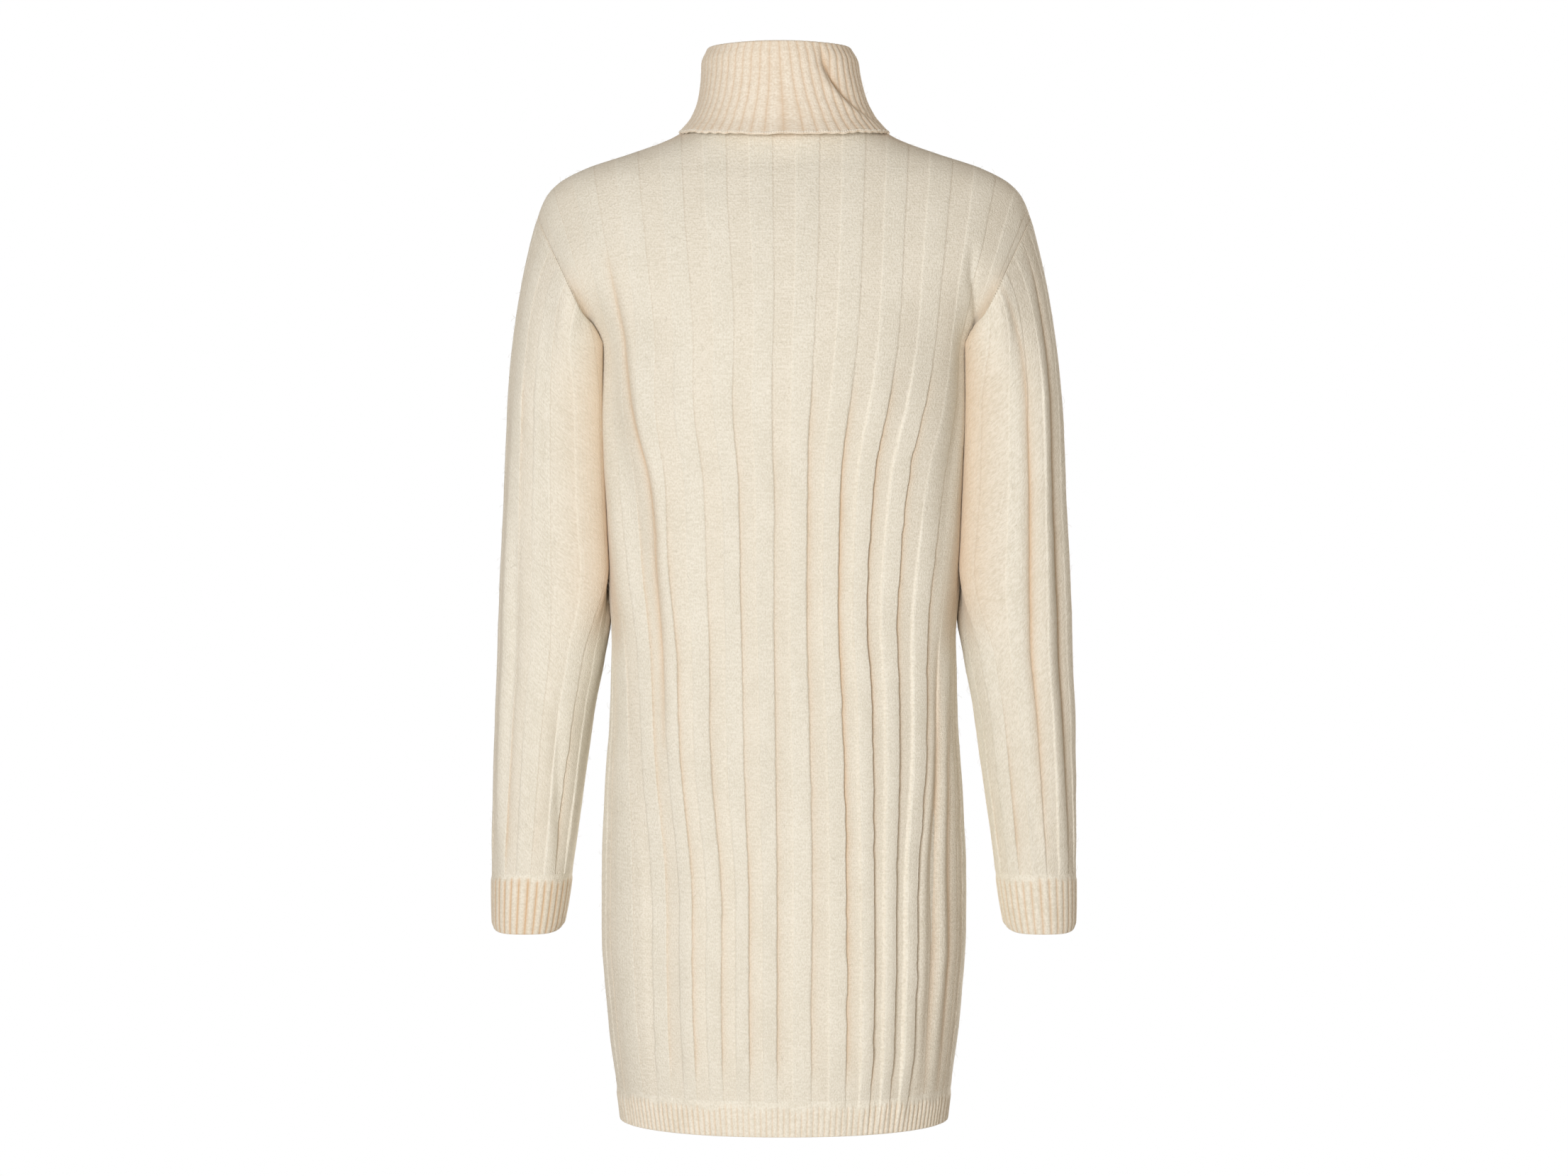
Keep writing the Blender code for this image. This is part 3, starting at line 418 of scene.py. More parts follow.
def yokeRow(piece, rib, rise):
    low = bodyRow(piece, ribShare(piece, rib, body["underarm"]), body["underarm"])
    topX, topZ = topEdge(piece, rib)
    x = low[:, 0] + (topX - low[:, 0]) * rise
    z = body["underarm"] + (topZ - body["underarm"]) * rise

    def whole(across, height):
        reach = np.clip(np.abs(across) / smoothAt(yokeTable, "halfWidth", height), 0, 1)
        return smoothAt(yokeTable, piece, height) * np.sqrt(1 - reach**2)

    t = min(rise / body["armpitRise"], 1.0)
    atEdge = (np.abs(rib) / body["ribs"]) ** 8
    join = ease(t) * (1 - atEdge) + math.sin(math.pi * t / 2) ** body["armpitFull"] * atEdge
    inMiddle = 1 - ease((np.abs(rib) - 2) / 3)
    below = np.abs(low[:, 1]) + (whole(x, z) - whole(low[:, 0], body["underarm"])) * inMiddle
    depth = np.maximum(whole(x, z) * join + below * (1 - join), cloth["seam"] / 2)
    return np.stack([x, depth * (-1 if piece == "back" else 1), z], 1)


edgeSteps = np.array([0.0, 0.19, 0.5, 1.0])  # rows next to a seam, in shares of the rounded edge
yokeRises = np.concatenate([edgeSteps * cloth["edge"] / body["yokeLong"], np.linspace(0.026, 1.0, 54)])
yokeRises = 1 - yokeRises
joinSteps = np.array([0.0010, 0.0004, 0.0])  # rows next to a knitted-on rib
bodyHeights = np.linspace(body["underarm"], body["hemTop"] + cloth["aboveJoin"], body["rows"])[1:]
bodyHeights = np.concatenate([bodyHeights, body["hemTop"] + joinSteps])


def armhole():
    rises = yokeRises[::-1]
    edges, inside = [], []
    beside = np.array([body["ribs"] - 0.31, body["ribs"]])
    for piece in ("back", "front"):
        rows = np.array([yokeRow(piece, beside, rise) for rise in rises])
        inside.append(rows[:, 0])
        edges.append(rows[:, 1])
    shared = [(edges[0][i] + edges[1][i]) / 2 for i in (0, -1)]
    seam = np.array([shared[0], *edges[0][1:-1], shared[1], *edges[1][-2:0:-1]])
    top = (inside[0][-1] + inside[1][-1]) / 2
    within = np.array([inside[0][0], *inside[0][1:-1], top, *inside[1][-2:0:-1]])
    half = len(rises) - 1
    step = np.linalg.norm(np.roll(seam, -1, axis=0) - seam, axis=1)
    along = np.concatenate(([0.0], np.cumsum(step)))
    at = np.interp(along[:-1], [0, along[half], along[-1]], [0, 0.5, 1])
    up = np.array([*rises, *rises[-2:0:-1]])[:, None]
    blend = ease(up / 0.32)
    across = unit(unit(seam - within) * blend + np.array([[1.0, 0.0, 0.0]]) * (1 - blend))
    tangent = unit(np.roll(seam, -1, axis=0) - np.roll(seam, 1, axis=0))
    across = unit(across - tangent * np.sum(across * tangent, axis=1, keepdims=True))
    return seam, at, across, -unit(np.cross(tangent, across))


armholeSeam = armhole()


def around(at, values, turn):
    return np.stack([np.interp(turn, [*at, 1.0], [*column, column[0]]) for column in values.T], 1)


def tubeRow(turn, height):
    names = ("centreX", "centreY", "halfWidth", "halfDepth")
    x, y, width, depth = (smoothAt(sleeveTable, name, height) for name in names)
    sine, cosine = np.sin(2 * math.pi * turn), np.cos(2 * math.pi * turn)
    across, along = squarer(cosine, 2 / 2.2), squarer(sine, 2 / 2.2)
    return np.stack([x - width * across, y - depth * along, np.full_like(turn, height)], 1)


foldShape = {"ends": 0.8, "crease": 1.4, "shadeEnds": 0.6, "shadeFall": 2.0}  # sharper ones are shaded


def foldsAt(piece, rib, height, ribWidth):  # how near each fold's middle and how far off its line points lie
    for line, width, size, sharp in folds.get(piece, ()):
        ribs, heights = np.array(line).T
        at = np.interp(-height, -heights, ribs)
        along = np.clip((heights[0] - height) / (heights[0] - heights[-1]), 0, 1)
        yield np.sin(math.pi * along), np.abs(rib - at) * ribWidth / width, size, sharp


def foldLift(piece, rib, height, ribWidth):
    lift = np.zeros(height.shape)
    for nearMiddle, off, size, sharp in foldsAt(piece, rib, height, ribWidth):
        lift += size * nearMiddle ** foldShape["ends"] * np.exp(-(off**sharp))
    return lift


def creaseShade(piece, rib, height, ribWidth):  # 1 in the bottom of a sharp crease
    shade = np.zeros(height.shape)
    for nearMiddle, off, size, sharp in foldsAt(piece, rib, height, ribWidth):
        if size < 0 and sharp < foldShape["crease"]:
            deepest = nearMiddle ** foldShape["shadeEnds"]
            shade = np.maximum(shade, deepest * np.exp(-foldShape["shadeFall"] * off))
    return shade


def wander(shape, seed, across=8, down=6):  # smooth chance wavering between -1 and 1
    values = np.random.default_rng(seed).normal(size=shape)
    for axis, width in ((0, down), (1, across)):
        if width:
            reach = np.arange(-3 * width, 3 * width + 1)
            kernel = np.exp(-0.5 * (reach / width) ** 2)
            kernel /= np.sqrt((kernel**2).sum())
            pad = [(3 * width, 3 * width) if a == axis else (0, 0) for a in (0, 1)]
            padded = np.pad(values, pad, mode="wrap")
            values = np.apply_along_axis(lambda line: np.convolve(line, kernel, "valid"), axis, padded)
    return np.clip(values, -2.2, 2.2) / 2.2


ribSteps = (0.06, 0.12, 0.17, 0.20, 0.22, 0.24, 0.26, 0.28, 0.31, 0.37, 0.44)  # columns of half a wide rib
ribPhases = np.array([0.0, *ribSteps, 0.5, *(1 - np.array(ribSteps[::-1]))])
ribShape = {
    "edge": 0.035,
    "dome": 0.12,
    "line": 0.778,
    "lineWidth": 0.017,
    "lineDepth": (0.00010, 0.06),  # on flat cloth, and more for each unit of relief beyond that
    "shadow": 0.098,
    "shadowFrom": (0.0009, 0.0022),  # relief at which the painted shade on a stripe's dark side begins, and grows over
}


def wideProfile(rib, waver):  # how far the wide rib is raised, and the narrow line at its right
    phase = np.mod(rib, 1.0)
    off = np.abs(phase - 0.5) + waver
    raised = ease((0.25 + ribShape["edge"] - off) / (2 * ribShape["edge"]))
    domed = raised * (1 - ribShape["dome"] * (1 - np.cos(math.pi * np.clip(off / 0.25, 0, 1))) / 2)
    line = np.exp(-(((phase + waver - ribShape["line"]) / ribShape["lineWidth"]) ** 2))
    return domed, line


def relief(width, height, nearness, flatRib, gather=1.0):
    middle, half, fade = body["pressed"]
    flat = nearness * (1 - ease((np.abs(height - middle) - half) / fade))
    gathered = np.clip(1 - width / flatRib, 0, 0.5) * ease((body["underarm"] - height) / 0.05)
    return (body["ribHeight"] + body["ribGather"] * gather * gathered) * (1 - flat)


def gatherAt(piece, rib):  # the back is gathered at the right more than at the left
    if piece == "front":
        return 1.0
    return 0.40 + 0.60 * ease((rib[None, :] + 0.5) / 3.0)


def fadeOut(height, top, end, shares):  # share of the wide relief left towards a knitted-on rib and down it
    reach, atTop, atEnd = shares
    above = atTop + (1 - atTop) * ease((height - top) / reach)
    below = atEnd + (atTop - atEnd) * ease((height - end) / (top - end))
    return np.where(height > top, above, below)


def panelDepth(piece, rib, height, width, nearness):
    deep = relief(width, height, nearness, body["flatRib"], gatherAt(piece, rib))
    if piece == "front":
        strong = 0.6 + 0.4 * np.cos(1.7 * rib + 0.5)
        deep = deep + body["frontGather"] * strong[None, :] * ease((body["underarm"] - height) / 0.15)
    return deep * fadeOut(height, body["hemTop"], body["hem"], body["hemFade"])


def settle(points, keep, rounds=18):  # evens the rows out, except where keep is 1
    for _ in range(rounds):
        middle = (points[:-2] + points[2:]) / 2 - points[1:-1]
        points[1:-1] += 0.5 * (1 - keep[1:-1, :, None]) * middle
    return points


def edgeShare(distance, kind="edge"):  # how much of the cloth's thickness is left near a seam
    t = np.clip(distance / cloth[kind], 0, 1)
    left = cloth[kind + "Left"]
    return left + (1 - left) * np.sqrt(1 - (1 - t) ** 2)


def zipRows(upper, upperAt, lower, lowerAt, closed):
    if closed:
        upper, upperAt = [*upper, upper[0]], [*upperAt, upperAt[0] + 1]
        lower, lowerAt = [*lower, lower[0]], [*lowerAt, lowerAt[0] + 1]
    faces, i, j = [], 0, 0
    while i < len(upper) - 1 or j < len(lower) - 1:
        if j == len(lower) - 1 or (i < len(upper) - 1 and upperAt[i + 1] <= lowerAt[j + 1]):
            faces.append((upper[i], upper[i + 1], lower[j]))
            i += 1
        else:
            faces.append((upper[i], lower[j + 1], lower[j]))
            j += 1
    return faces


def gridFaces(rows, columns, first, closed):
    index = first + np.arange(rows * columns).reshape(rows, columns)
    beside = np.roll(index, -1, axis=1) if closed else index[:, 1:]
    own = index if closed else index[:, :-1]
    return np.stack([own[:-1], beside[:-1], beside[1:], own[1:]], -1).reshape(-1, 4)


def borderOf(index, places):
    across = (places - places[0]) / (places[-1] - places[0])
    down = np.linspace(0, 1, len(index))
    sides = (
        (index[0], across),
        (index[:, -1], down),
        (index[-1][::-1], 1 - across[::-1]),
        (index[:, 0][::-1], down),
    )
    loop, at = [], []
    for quarter, (side, along) in enumerate(sides):
        loop.extend(side[:-1])
        at.extend((quarter + along[:-1]) / 4)
    return loop, at


def shell(name, outer, inner, turnRibs=0):
    # outer and inner hold points, the rib count at each column, metres down and painted shade; turnRibs makes
    # a tube
    faces = [(*face, face[0].shape[:2]) for face in (outer, inner)]
    closed = turnRibs > 0
    index, quads, first = [], [], 0
    for *_, (rows, columns) in faces:
        index.append(first + np.arange(rows * columns).reshape(rows, columns))
        quads.append(gridFaces(rows, columns, first, closed))
        first += rows * columns
    quads, rims = np.concatenate(quads), []
    if closed:
        places = [np.abs(across - across[0]) / turnRibs for _, across, *_ in faces]
        for end in (0, -1):
            rims += zipRows(index[0][end], places[0], index[1][end], places[1], closed=True)
    else:
        loops = [borderOf(index[k], face[1]) for k, face in enumerate(faces)]
        rims = zipRows(*loops[0], *loops[1], closed=True)
    rims = np.array(rims)
    mesh = bpy.data.meshes.new(name)
    points = np.concatenate([face[0].reshape(-1, 3) for face in faces])
    mesh.from_pydata(points.tolist(), [], quads.tolist() + rims.tolist())
    spots = []
    for _, across, down, _, shape in faces:
        down = np.broadcast_to(np.asarray(down).reshape(shape[0], -1), shape)
        spots.append(np.stack([np.broadcast_to(across, shape), down], -1).reshape(-1, 2))
    spots = np.concatenate(spots)[np.concatenate([quads.ravel(), rims.ravel()])]
    if closed:  # the column that closes the ring reads on past the last rib
        u = spots[: len(quads) * 4, 0].reshape(-1, 4)
        u[(u.max(1) - u.min(1) > turnRibs / 2)[:, None] & (u < turnRibs / 2)] += turnRibs
    mesh.uv_layers.new(name="knit").data.foreach_set("uv", spots.astype(np.float32).ravel())
    grooveShade = np.concatenate([np.broadcast_to(grooveShade, shape).ravel() for *_, grooveShade, shape in faces])
    outside = np.concatenate([np.full(shape, 1.0 - k).ravel() for k, (*_, shape) in enumerate(faces)])
    for label, values in (("grooveShade", grooveShade), ("outside", outside)):
        mesh.attributes.new(label, "FLOAT", "POINT").data.foreach_set("value", values.astype(np.float32))
    mesh.shade_smooth()
    turned = bmesh.new()
    turned.from_mesh(mesh)
    bmesh.ops.recalc_face_normals(turned, faces=turned.faces)
    for face in list(turned.faces)[len(quads) :]:  # keeps the shading of the rim off the cloth beside it
        for edge in face.edges:
            edge.smooth = not any(len(beside.verts) == 4 for beside in edge.link_faces)
    turned.to_mesh(mesh)
    turned.free()
    piece = bpy.data.objects.new(name, mesh)
    bpy.context.scene.collection.objects.link(piece)
    return piece


def walls(points, up, thick, high, left):  # both faces of cloth that has its plain outside at the points
    half = thick / 2
    outer = points + up * ((half + high) * left - half)[..., None]
    return outer, points - up * (half * left + half)[..., None]


def runDown(points):  # metres down the piece at each point
    step = np.linalg.norm(np.diff(points, axis=0), axis=2)
    return np.concatenate([np.zeros((1, points.shape[1])), np.cumsum(step, axis=0)])


def uneven(shape, seed):  # a hand-made surface is never quite flat
    broad = wander(shape, seed, across=14, down=5)
    small = wander(shape, seed + seedsOn["small"], across=5, down=2)
    return cloth["uneven"] * (broad + 0.6 * small)


def softened(up):
    soft = up.copy()
    soft[1:-1, 1:-1] = (up[:-2, 1:-1] + up[2:, 1:-1] + 2 * up[1:-1, 1:-1] + up[1:-1, :-2] + up[1:-1, 2:]) / 6
    return unit(soft)


def wideRelief(rib, waver, deep):  # height of the wide ribs and the painted shade in their grooves
    raised, line = wideProfile(rib, waver)
    least, more = ribShape["lineDepth"]
    high = raised * deep - line * (least + more * (deep - body["ribHeight"]))
    begin, over = ribShape["shadowFrom"]
    beyond = np.mod(rib + waver - 0.75, 1.0)  # painted shade on the dark side of a gathered stripe
    grooveShade = np.clip((deep - begin) / over, 0, 1) * np.exp(-beyond / ribShape["shadow"]) * (1 - 0.6 * raised)
    return high, grooveShade


paintedShade = {  # painted shade: how warm and dark the cloth is painted there, from 0 to 1
    "crease": 0.80,
    "seam": 0.20,
    "besideArm": 0.50,  # on the body, where a sleeve lies against it
    "besideBody": 0.75,  # on that sleeve
    "underCollar": 0.55,
    "hem": 0.46,
    "cuff": {1: 0.60, -1: 0.85},  # right and left
    "cuffShadeAll": {1: 0.0, -1: 0.05},  # painted shade over the whole left cuff, which is turned a little from the light
    "collar": 0.70,
}


# adds painted shade: keeps the strongest of the given amounts
def addPaintedShade(grooveShade, **amounts):
    for label, amount in amounts.items():
        grooveShade = np.maximum(grooveShade, paintedShade[label] * amount)
    return grooveShade


def waverOf(height, seed, join):  # how far the stripes' edges wander, down to a fine rib
    return body["waver"] * wander(height.shape, seed, across=2, down=1) * ease((height - join) / 0.01)


def panelFaces(piece, rib, ribbed):
    facing = 1 if piece == "back" else -1
    size = np.abs(rib)
    seed = seeds[piece]
    rises, count = len(yokeRises), len(yokeRises) + len(bodyHeights)
    at = np.tile(rib, (count, 1))
    if ribbed:
        kept, above, below = body["driftRows"]
        level = np.arange(count)
        ends = ease((level - kept) / above) * ease((count - kept - level) / below)
        drift = body["drift"] * wander(at.shape, seed + seedsOn["drift"], across=20, down=14)
        at += drift * ends[:, None] * (1 - (size / body["ribs"]) ** 4)
    yoke = [yokeRow(piece, at[row], rise) for row, rise in enumerate(yokeRises)]
    lower = []
    for row, height in enumerate(bodyHeights, rises):
        lower.append(bodyRow(piece, ribShare(piece, at[row], height), height))
    points = np.array(yoke + lower)
    height = points[..., 2].copy()
    keep = np.maximum((size / body["ribs"]) ** 20, ease((height - body["settled"]) / 0.05))
    points = settle(points, keep)
    up = gridNormals(points, closed=False) * facing
    width = np.maximum(np.linalg.norm(np.gradient(points, axis=1), axis=2) / np.gradient(rib), 0.02)
    inside = 1 - (size / body["ribs"]) ** 12
    lift = foldLift(piece, rib[None, :], height, width) * inside
    points = points + up * lift[..., None]
    _, _, across, normal = armholeSeam
    own = slice(0, rises) if piece == "back" else np.array([0, *range(len(across) - 1, rises - 2, -1)])
    across, normal = across[own][::-1], normal[own][::-1]
    for side, way in ((0, -1), (-1, 1)):
        mirror = np.array([way, 1, 1])
        up[:rises, side] = normal * mirror
        points[:rises, side] -= across * mirror * cloth["seam"] / 2
    meetAtSide(up[rises:], bodyHeights)
    onShoulder = size > body["neckRibs"] - 0.001
    edge, outward = np.array(topEdge(piece, rib)), np.array(topEdge(piece, rib + 0.02 * np.sign(rib)))
    drop, run = (edge - outward)[1], np.abs(outward - edge)[0]
    upright = unit(np.stack([drop * np.sign(rib), np.zeros(len(rib)), run], 1))
    up[0, onShoulder] = upright[onShoulder]
    points[0, onShoulder, 1] = -facing * cloth["seam"] / 2
    up[-1, :, 2] = 0
    up[-1] = unit(up[-1])
    points[-1, :, 2] = body["hemTop"]
    up = softened(up)
    high, grooveShade = np.zeros(height.shape), np.zeros(height.shape)
    fromEdge = (body["ribs"] - size)[None, :] * body["flatRib"]
    fromTop = (1 - yokeRises) * body["yokeLong"]
    fromTop = np.concatenate([fromTop, np.full(len(bodyHeights), 1.0)])[:, None]
    nearest = np.minimum(fromEdge, fromTop)
    share = np.minimum(edgeShare(nearest), edgeShare(height - body["hemTop"], "join"))
    if ribbed:
        fade = ease(fromTop / cloth["fadeTop"]) * ease(fromEdge / cloth["fadeSide"])
        waver = waverOf(height, seed, body["hemTop"])
        flatFrom, shadeFrom, shadeOver = body["sideFlat"]
        deep = panelDepth(piece, rib, height, width, ease(size - flatFrom)[None, :])
        high, grooveShade = wideRelief(rib[None, :], waver, deep)
        rough = uneven(height.shape, seed + seedsOn["uneven"])
        high = (high + rough * ease((height - body["hemTop"]) / 0.008)) * fade
        # painted shade where a sleeve lies against the side, under the collar, in sharp creases and along
        # seams
        middle, half, reach = body["pressed"]
        besideArm = ease((size - shadeFrom) / shadeOver)[None, :]
        besideArm = besideArm * (1 - ease((np.abs(height - middle) - half) / reach))
        full, fall, past, end = body["collarShade"]
        underCollar = np.exp(-np.maximum(fromTop - full, 0) / fall)
        underCollar = underCollar * ease((body["neckRibs"] + past - size) / end)[None, :]
        crease, seam = creaseShade(piece, rib[None, :], height, width), 1 - ease(nearest / cloth["edge"])
        grooveShade = addPaintedShade(grooveShade * fade, crease=crease, seam=seam, besideArm=besideArm, underCollar=underCollar)
        lean = body["lean"] * ease(rib / 3) * np.clip(deep - body["hang"], 0, 1) * facing
        lean = lean * np.clip(high / np.maximum(deep, 1e-6), 0, 1)
        points = points + unit(acrossOf(points, False)) * lean[..., None]
    outer, inner = walls(points, up, cloth["wide"], high, share)
    down = runDown(points)
    return outer, inner, grooveShade, down - down[rises - 1] + down[rises - 1].max()


def thinned(count):  # the rows that the plain inside needs
    return np.unique(np.concatenate([np.arange(4), np.arange(4, count - 3, 3), np.arange(count - 3, count)]))


def panel(name, piece):
    ribs = body["ribs"]
    edges = edgeSteps[:-1] * cloth["edge"] / body["flatRib"]
    inside = np.concatenate([n + ribPhases for n in range(-ribs, ribs)])
    inside = inside[np.abs(inside) < ribs - 0.05]
    rib = np.array([*(-ribs + edges), *inside, *(ribs - edges[::-1])])
    outer, _, grooveShade, down = panelFaces(piece, rib, True)
    inside = np.linspace(-ribs + 0.05, ribs - 0.05, 8 * ribs + 1)
    plain = np.array([*(-ribs + edges), *inside, *(ribs - edges[::-1])])
    _, inner, _, plainDown = panelFaces(piece, plain, False)
    rows = thinned(len(inner))
    return shell(name, (outer, rib, down, grooveShade), (inner[rows], plain + 0.5, plainDown[rows], 0.0))


def fineProfile(phase):
    return (0.5 - 0.5 * np.cos(2 * math.pi * phase)) ** fineRib["sharp"]


def fineBand(phase, drop, seed, carried, grooveShade, strong, warm, shadeAllOver=0.0):
    # fine ribs, each from its own height on, over what is carried on of the wide ones, with painted shade in
    # the grooves between them and an even painted shade over the band
    late = fineRib["late"] * (1 + wander((1, len(phase)), seed, across=5, down=0))
    begun = ease((drop[:, None] - late) / fineRib["begin"])
    fine = fineProfile(phase)[None, :]
    high = carried + fine * fineRib["height"] * begun * strong
    return high, np.maximum(grooveShade * (1 - 0.7 * begun), warm * (1 - fine) * begun) + shadeAllOver * begun


def bandCloth(drop):  # the cloth grows thinner from the wide rib on
    return cloth["wide"] + (cloth["fine"] - cloth["wide"]) * ease(drop / cloth["thinning"])[:, None]


def dropsOf(long):  # rows of a knitted-on rib, closer at its ends
    inner = np.linspace(0.0040, long - 0.0035, max(3, round(long / 0.0032)))
    return np.array([0, 0.0004, 0.0010, 0.0022, *inner, *(long - np.array([0.0018, 0.0009, 0.0003, 0.0]))])


def hemRib(name, piece):
    drop = dropsOf(body["hemTop"] - body["hem"])
    heights = body["hemTop"] - drop
    ribs, halfWide = fineRib["hem"], fineRib["halfWide"]

    def faces(share, ribbed):
        points = np.array([bodyRow(piece, share, height) for height in heights])
        points[0, :, 2] -= cloth["belowJoin"]
        up = gridNormals(points, closed=False) * (1 if piece == "back" else -1)
        up[..., 2] = 0
        meetAtSide(up, heights)
        up = unit(up)
        at = points[..., 2]
        rib = ribAt(piece, share, body["hemTop"])
        width = np.linalg.norm(np.gradient(points[0], axis=0), axis=1) / np.maximum(np.gradient(rib), 1e-6)
        width = np.broadcast_to(np.maximum(width, 0.02), at.shape)
        lift = foldLift(piece, rib[None, :], at, width) * (1 - (np.abs(rib) / body["ribs"]) ** 12)
        points = points + up * lift[..., None]
        fromEdge = (1 - np.abs(share))[None, :] * halfWide
        left = edgeShare(np.minimum(fromEdge, (drop[-1] - drop)[:, None]))
        left = np.minimum(left, edgeShare(drop, "join")[:, None])
        high, grooveShade = np.zeros(at.shape), np.zeros(at.shape)
        if ribbed:
            deep = panelDepth(piece, rib, at, width, 0)
            carried, grooveShade = wideRelief(rib[None, :], 0.0, deep)
            least, more = fineRib["hemRelief"]
            strong = least + more * ease(np.abs(rib) / 3 - 0.3)[None, :]
            # painted shade in the grooves between the fine ribs
            warm = paintedShade["hem"] * strong
            high, grooveShade = fineBand(share * ribs, drop, seeds["hem"], carried, grooveShade, strong, warm)
            high = high * ease(fromEdge / cloth["fadeSide"])
        return *walls(points, up, bandCloth(drop), high, left), grooveShade

    edges = edgeSteps[:-1] * cloth["edge"] / halfWide
    inside = np.arange(1, 8 * 2 * ribs) / (8 * ribs) - 1
    inside = inside[np.abs(inside) < 1 - cloth["edge"] / halfWide]
    share = np.array([*(-1 + edges), *inside, *(1 - edges[::-1])])
    plain = np.array([*(-1 + edges), *np.linspace(-0.985, 0.985, 97), *(1 - edges[::-1])])
    outer, _, grooveShade = faces(share, True)
    _, inner, _ = faces(plain, False)
    return shell(name, (outer, share * ribs, drop, grooveShade), (inner, plain * ribs + 0.5, drop, 0.0))


def bodyWall():  # the body's right side, closed across the armhole, for the sleeve to lie against
    rib = np.linspace(3, body["ribs"], 36)
    rows = []
    for rise in yokeRises:
        rows.append([*yokeRow("back", rib, rise), *yokeRow("front", rib, rise)[::-1]])
    for height in bodyHeights[::4]:
        back, front = (bodyRow(piece, ribShare(piece, rib, height), height) for piece in ("back", "front"))
        rows.append([*back, *front[::-1]])
    points = [tuple(point) for row in rows for point in row]
    return BVHTree.FromPolygons(points, gridFaces(len(rows), 2 * len(rib), 0, False).tolist())


wall = bodyWall()


def wallAt(point):
    hit = wall.ray_cast((0.3, point[1], point[2]), (-1, 0, 0))[0]
    return hit.x if hit and hit.x > 0.1 else 0.0


def againstBody(points):  # lays the inner side of the sleeve against the body's side
    height, depth = points[..., 2], points[..., 1]
    side = np.array([wallAt(point) for point in points.reshape(-1, 3)]).reshape(height.shape) + arm["clear"]
    side[side < 0.1] = points[..., 0][side < 0.1]
    inward = ease((smoothAt(sleeveTable, "centreX", height) - points[..., 0]) / 0.025)
    near = np.zeros(height.shape)
    for top, topFade, bottom, bottomFade, middle, half, fade in arm["touch"]:
        touching = 1 - ease((np.abs(depth - middle) - half) / fade)
        touching = touching * ease((top - height) / topFade) * ease((height - bottom) / bottomFade)
        near = np.maximum(near, touching)
    near = near * inward
    pressed = points.copy()
    pressed[..., 0] += near * np.minimum(side - points[..., 0], 0)
    return pressed, near


def stripesAt(rib, side):  # the left sleeve's stripes run the other way round
    return rib if side > 0 else arm["ribs"] - rib + arm["leftShift"]


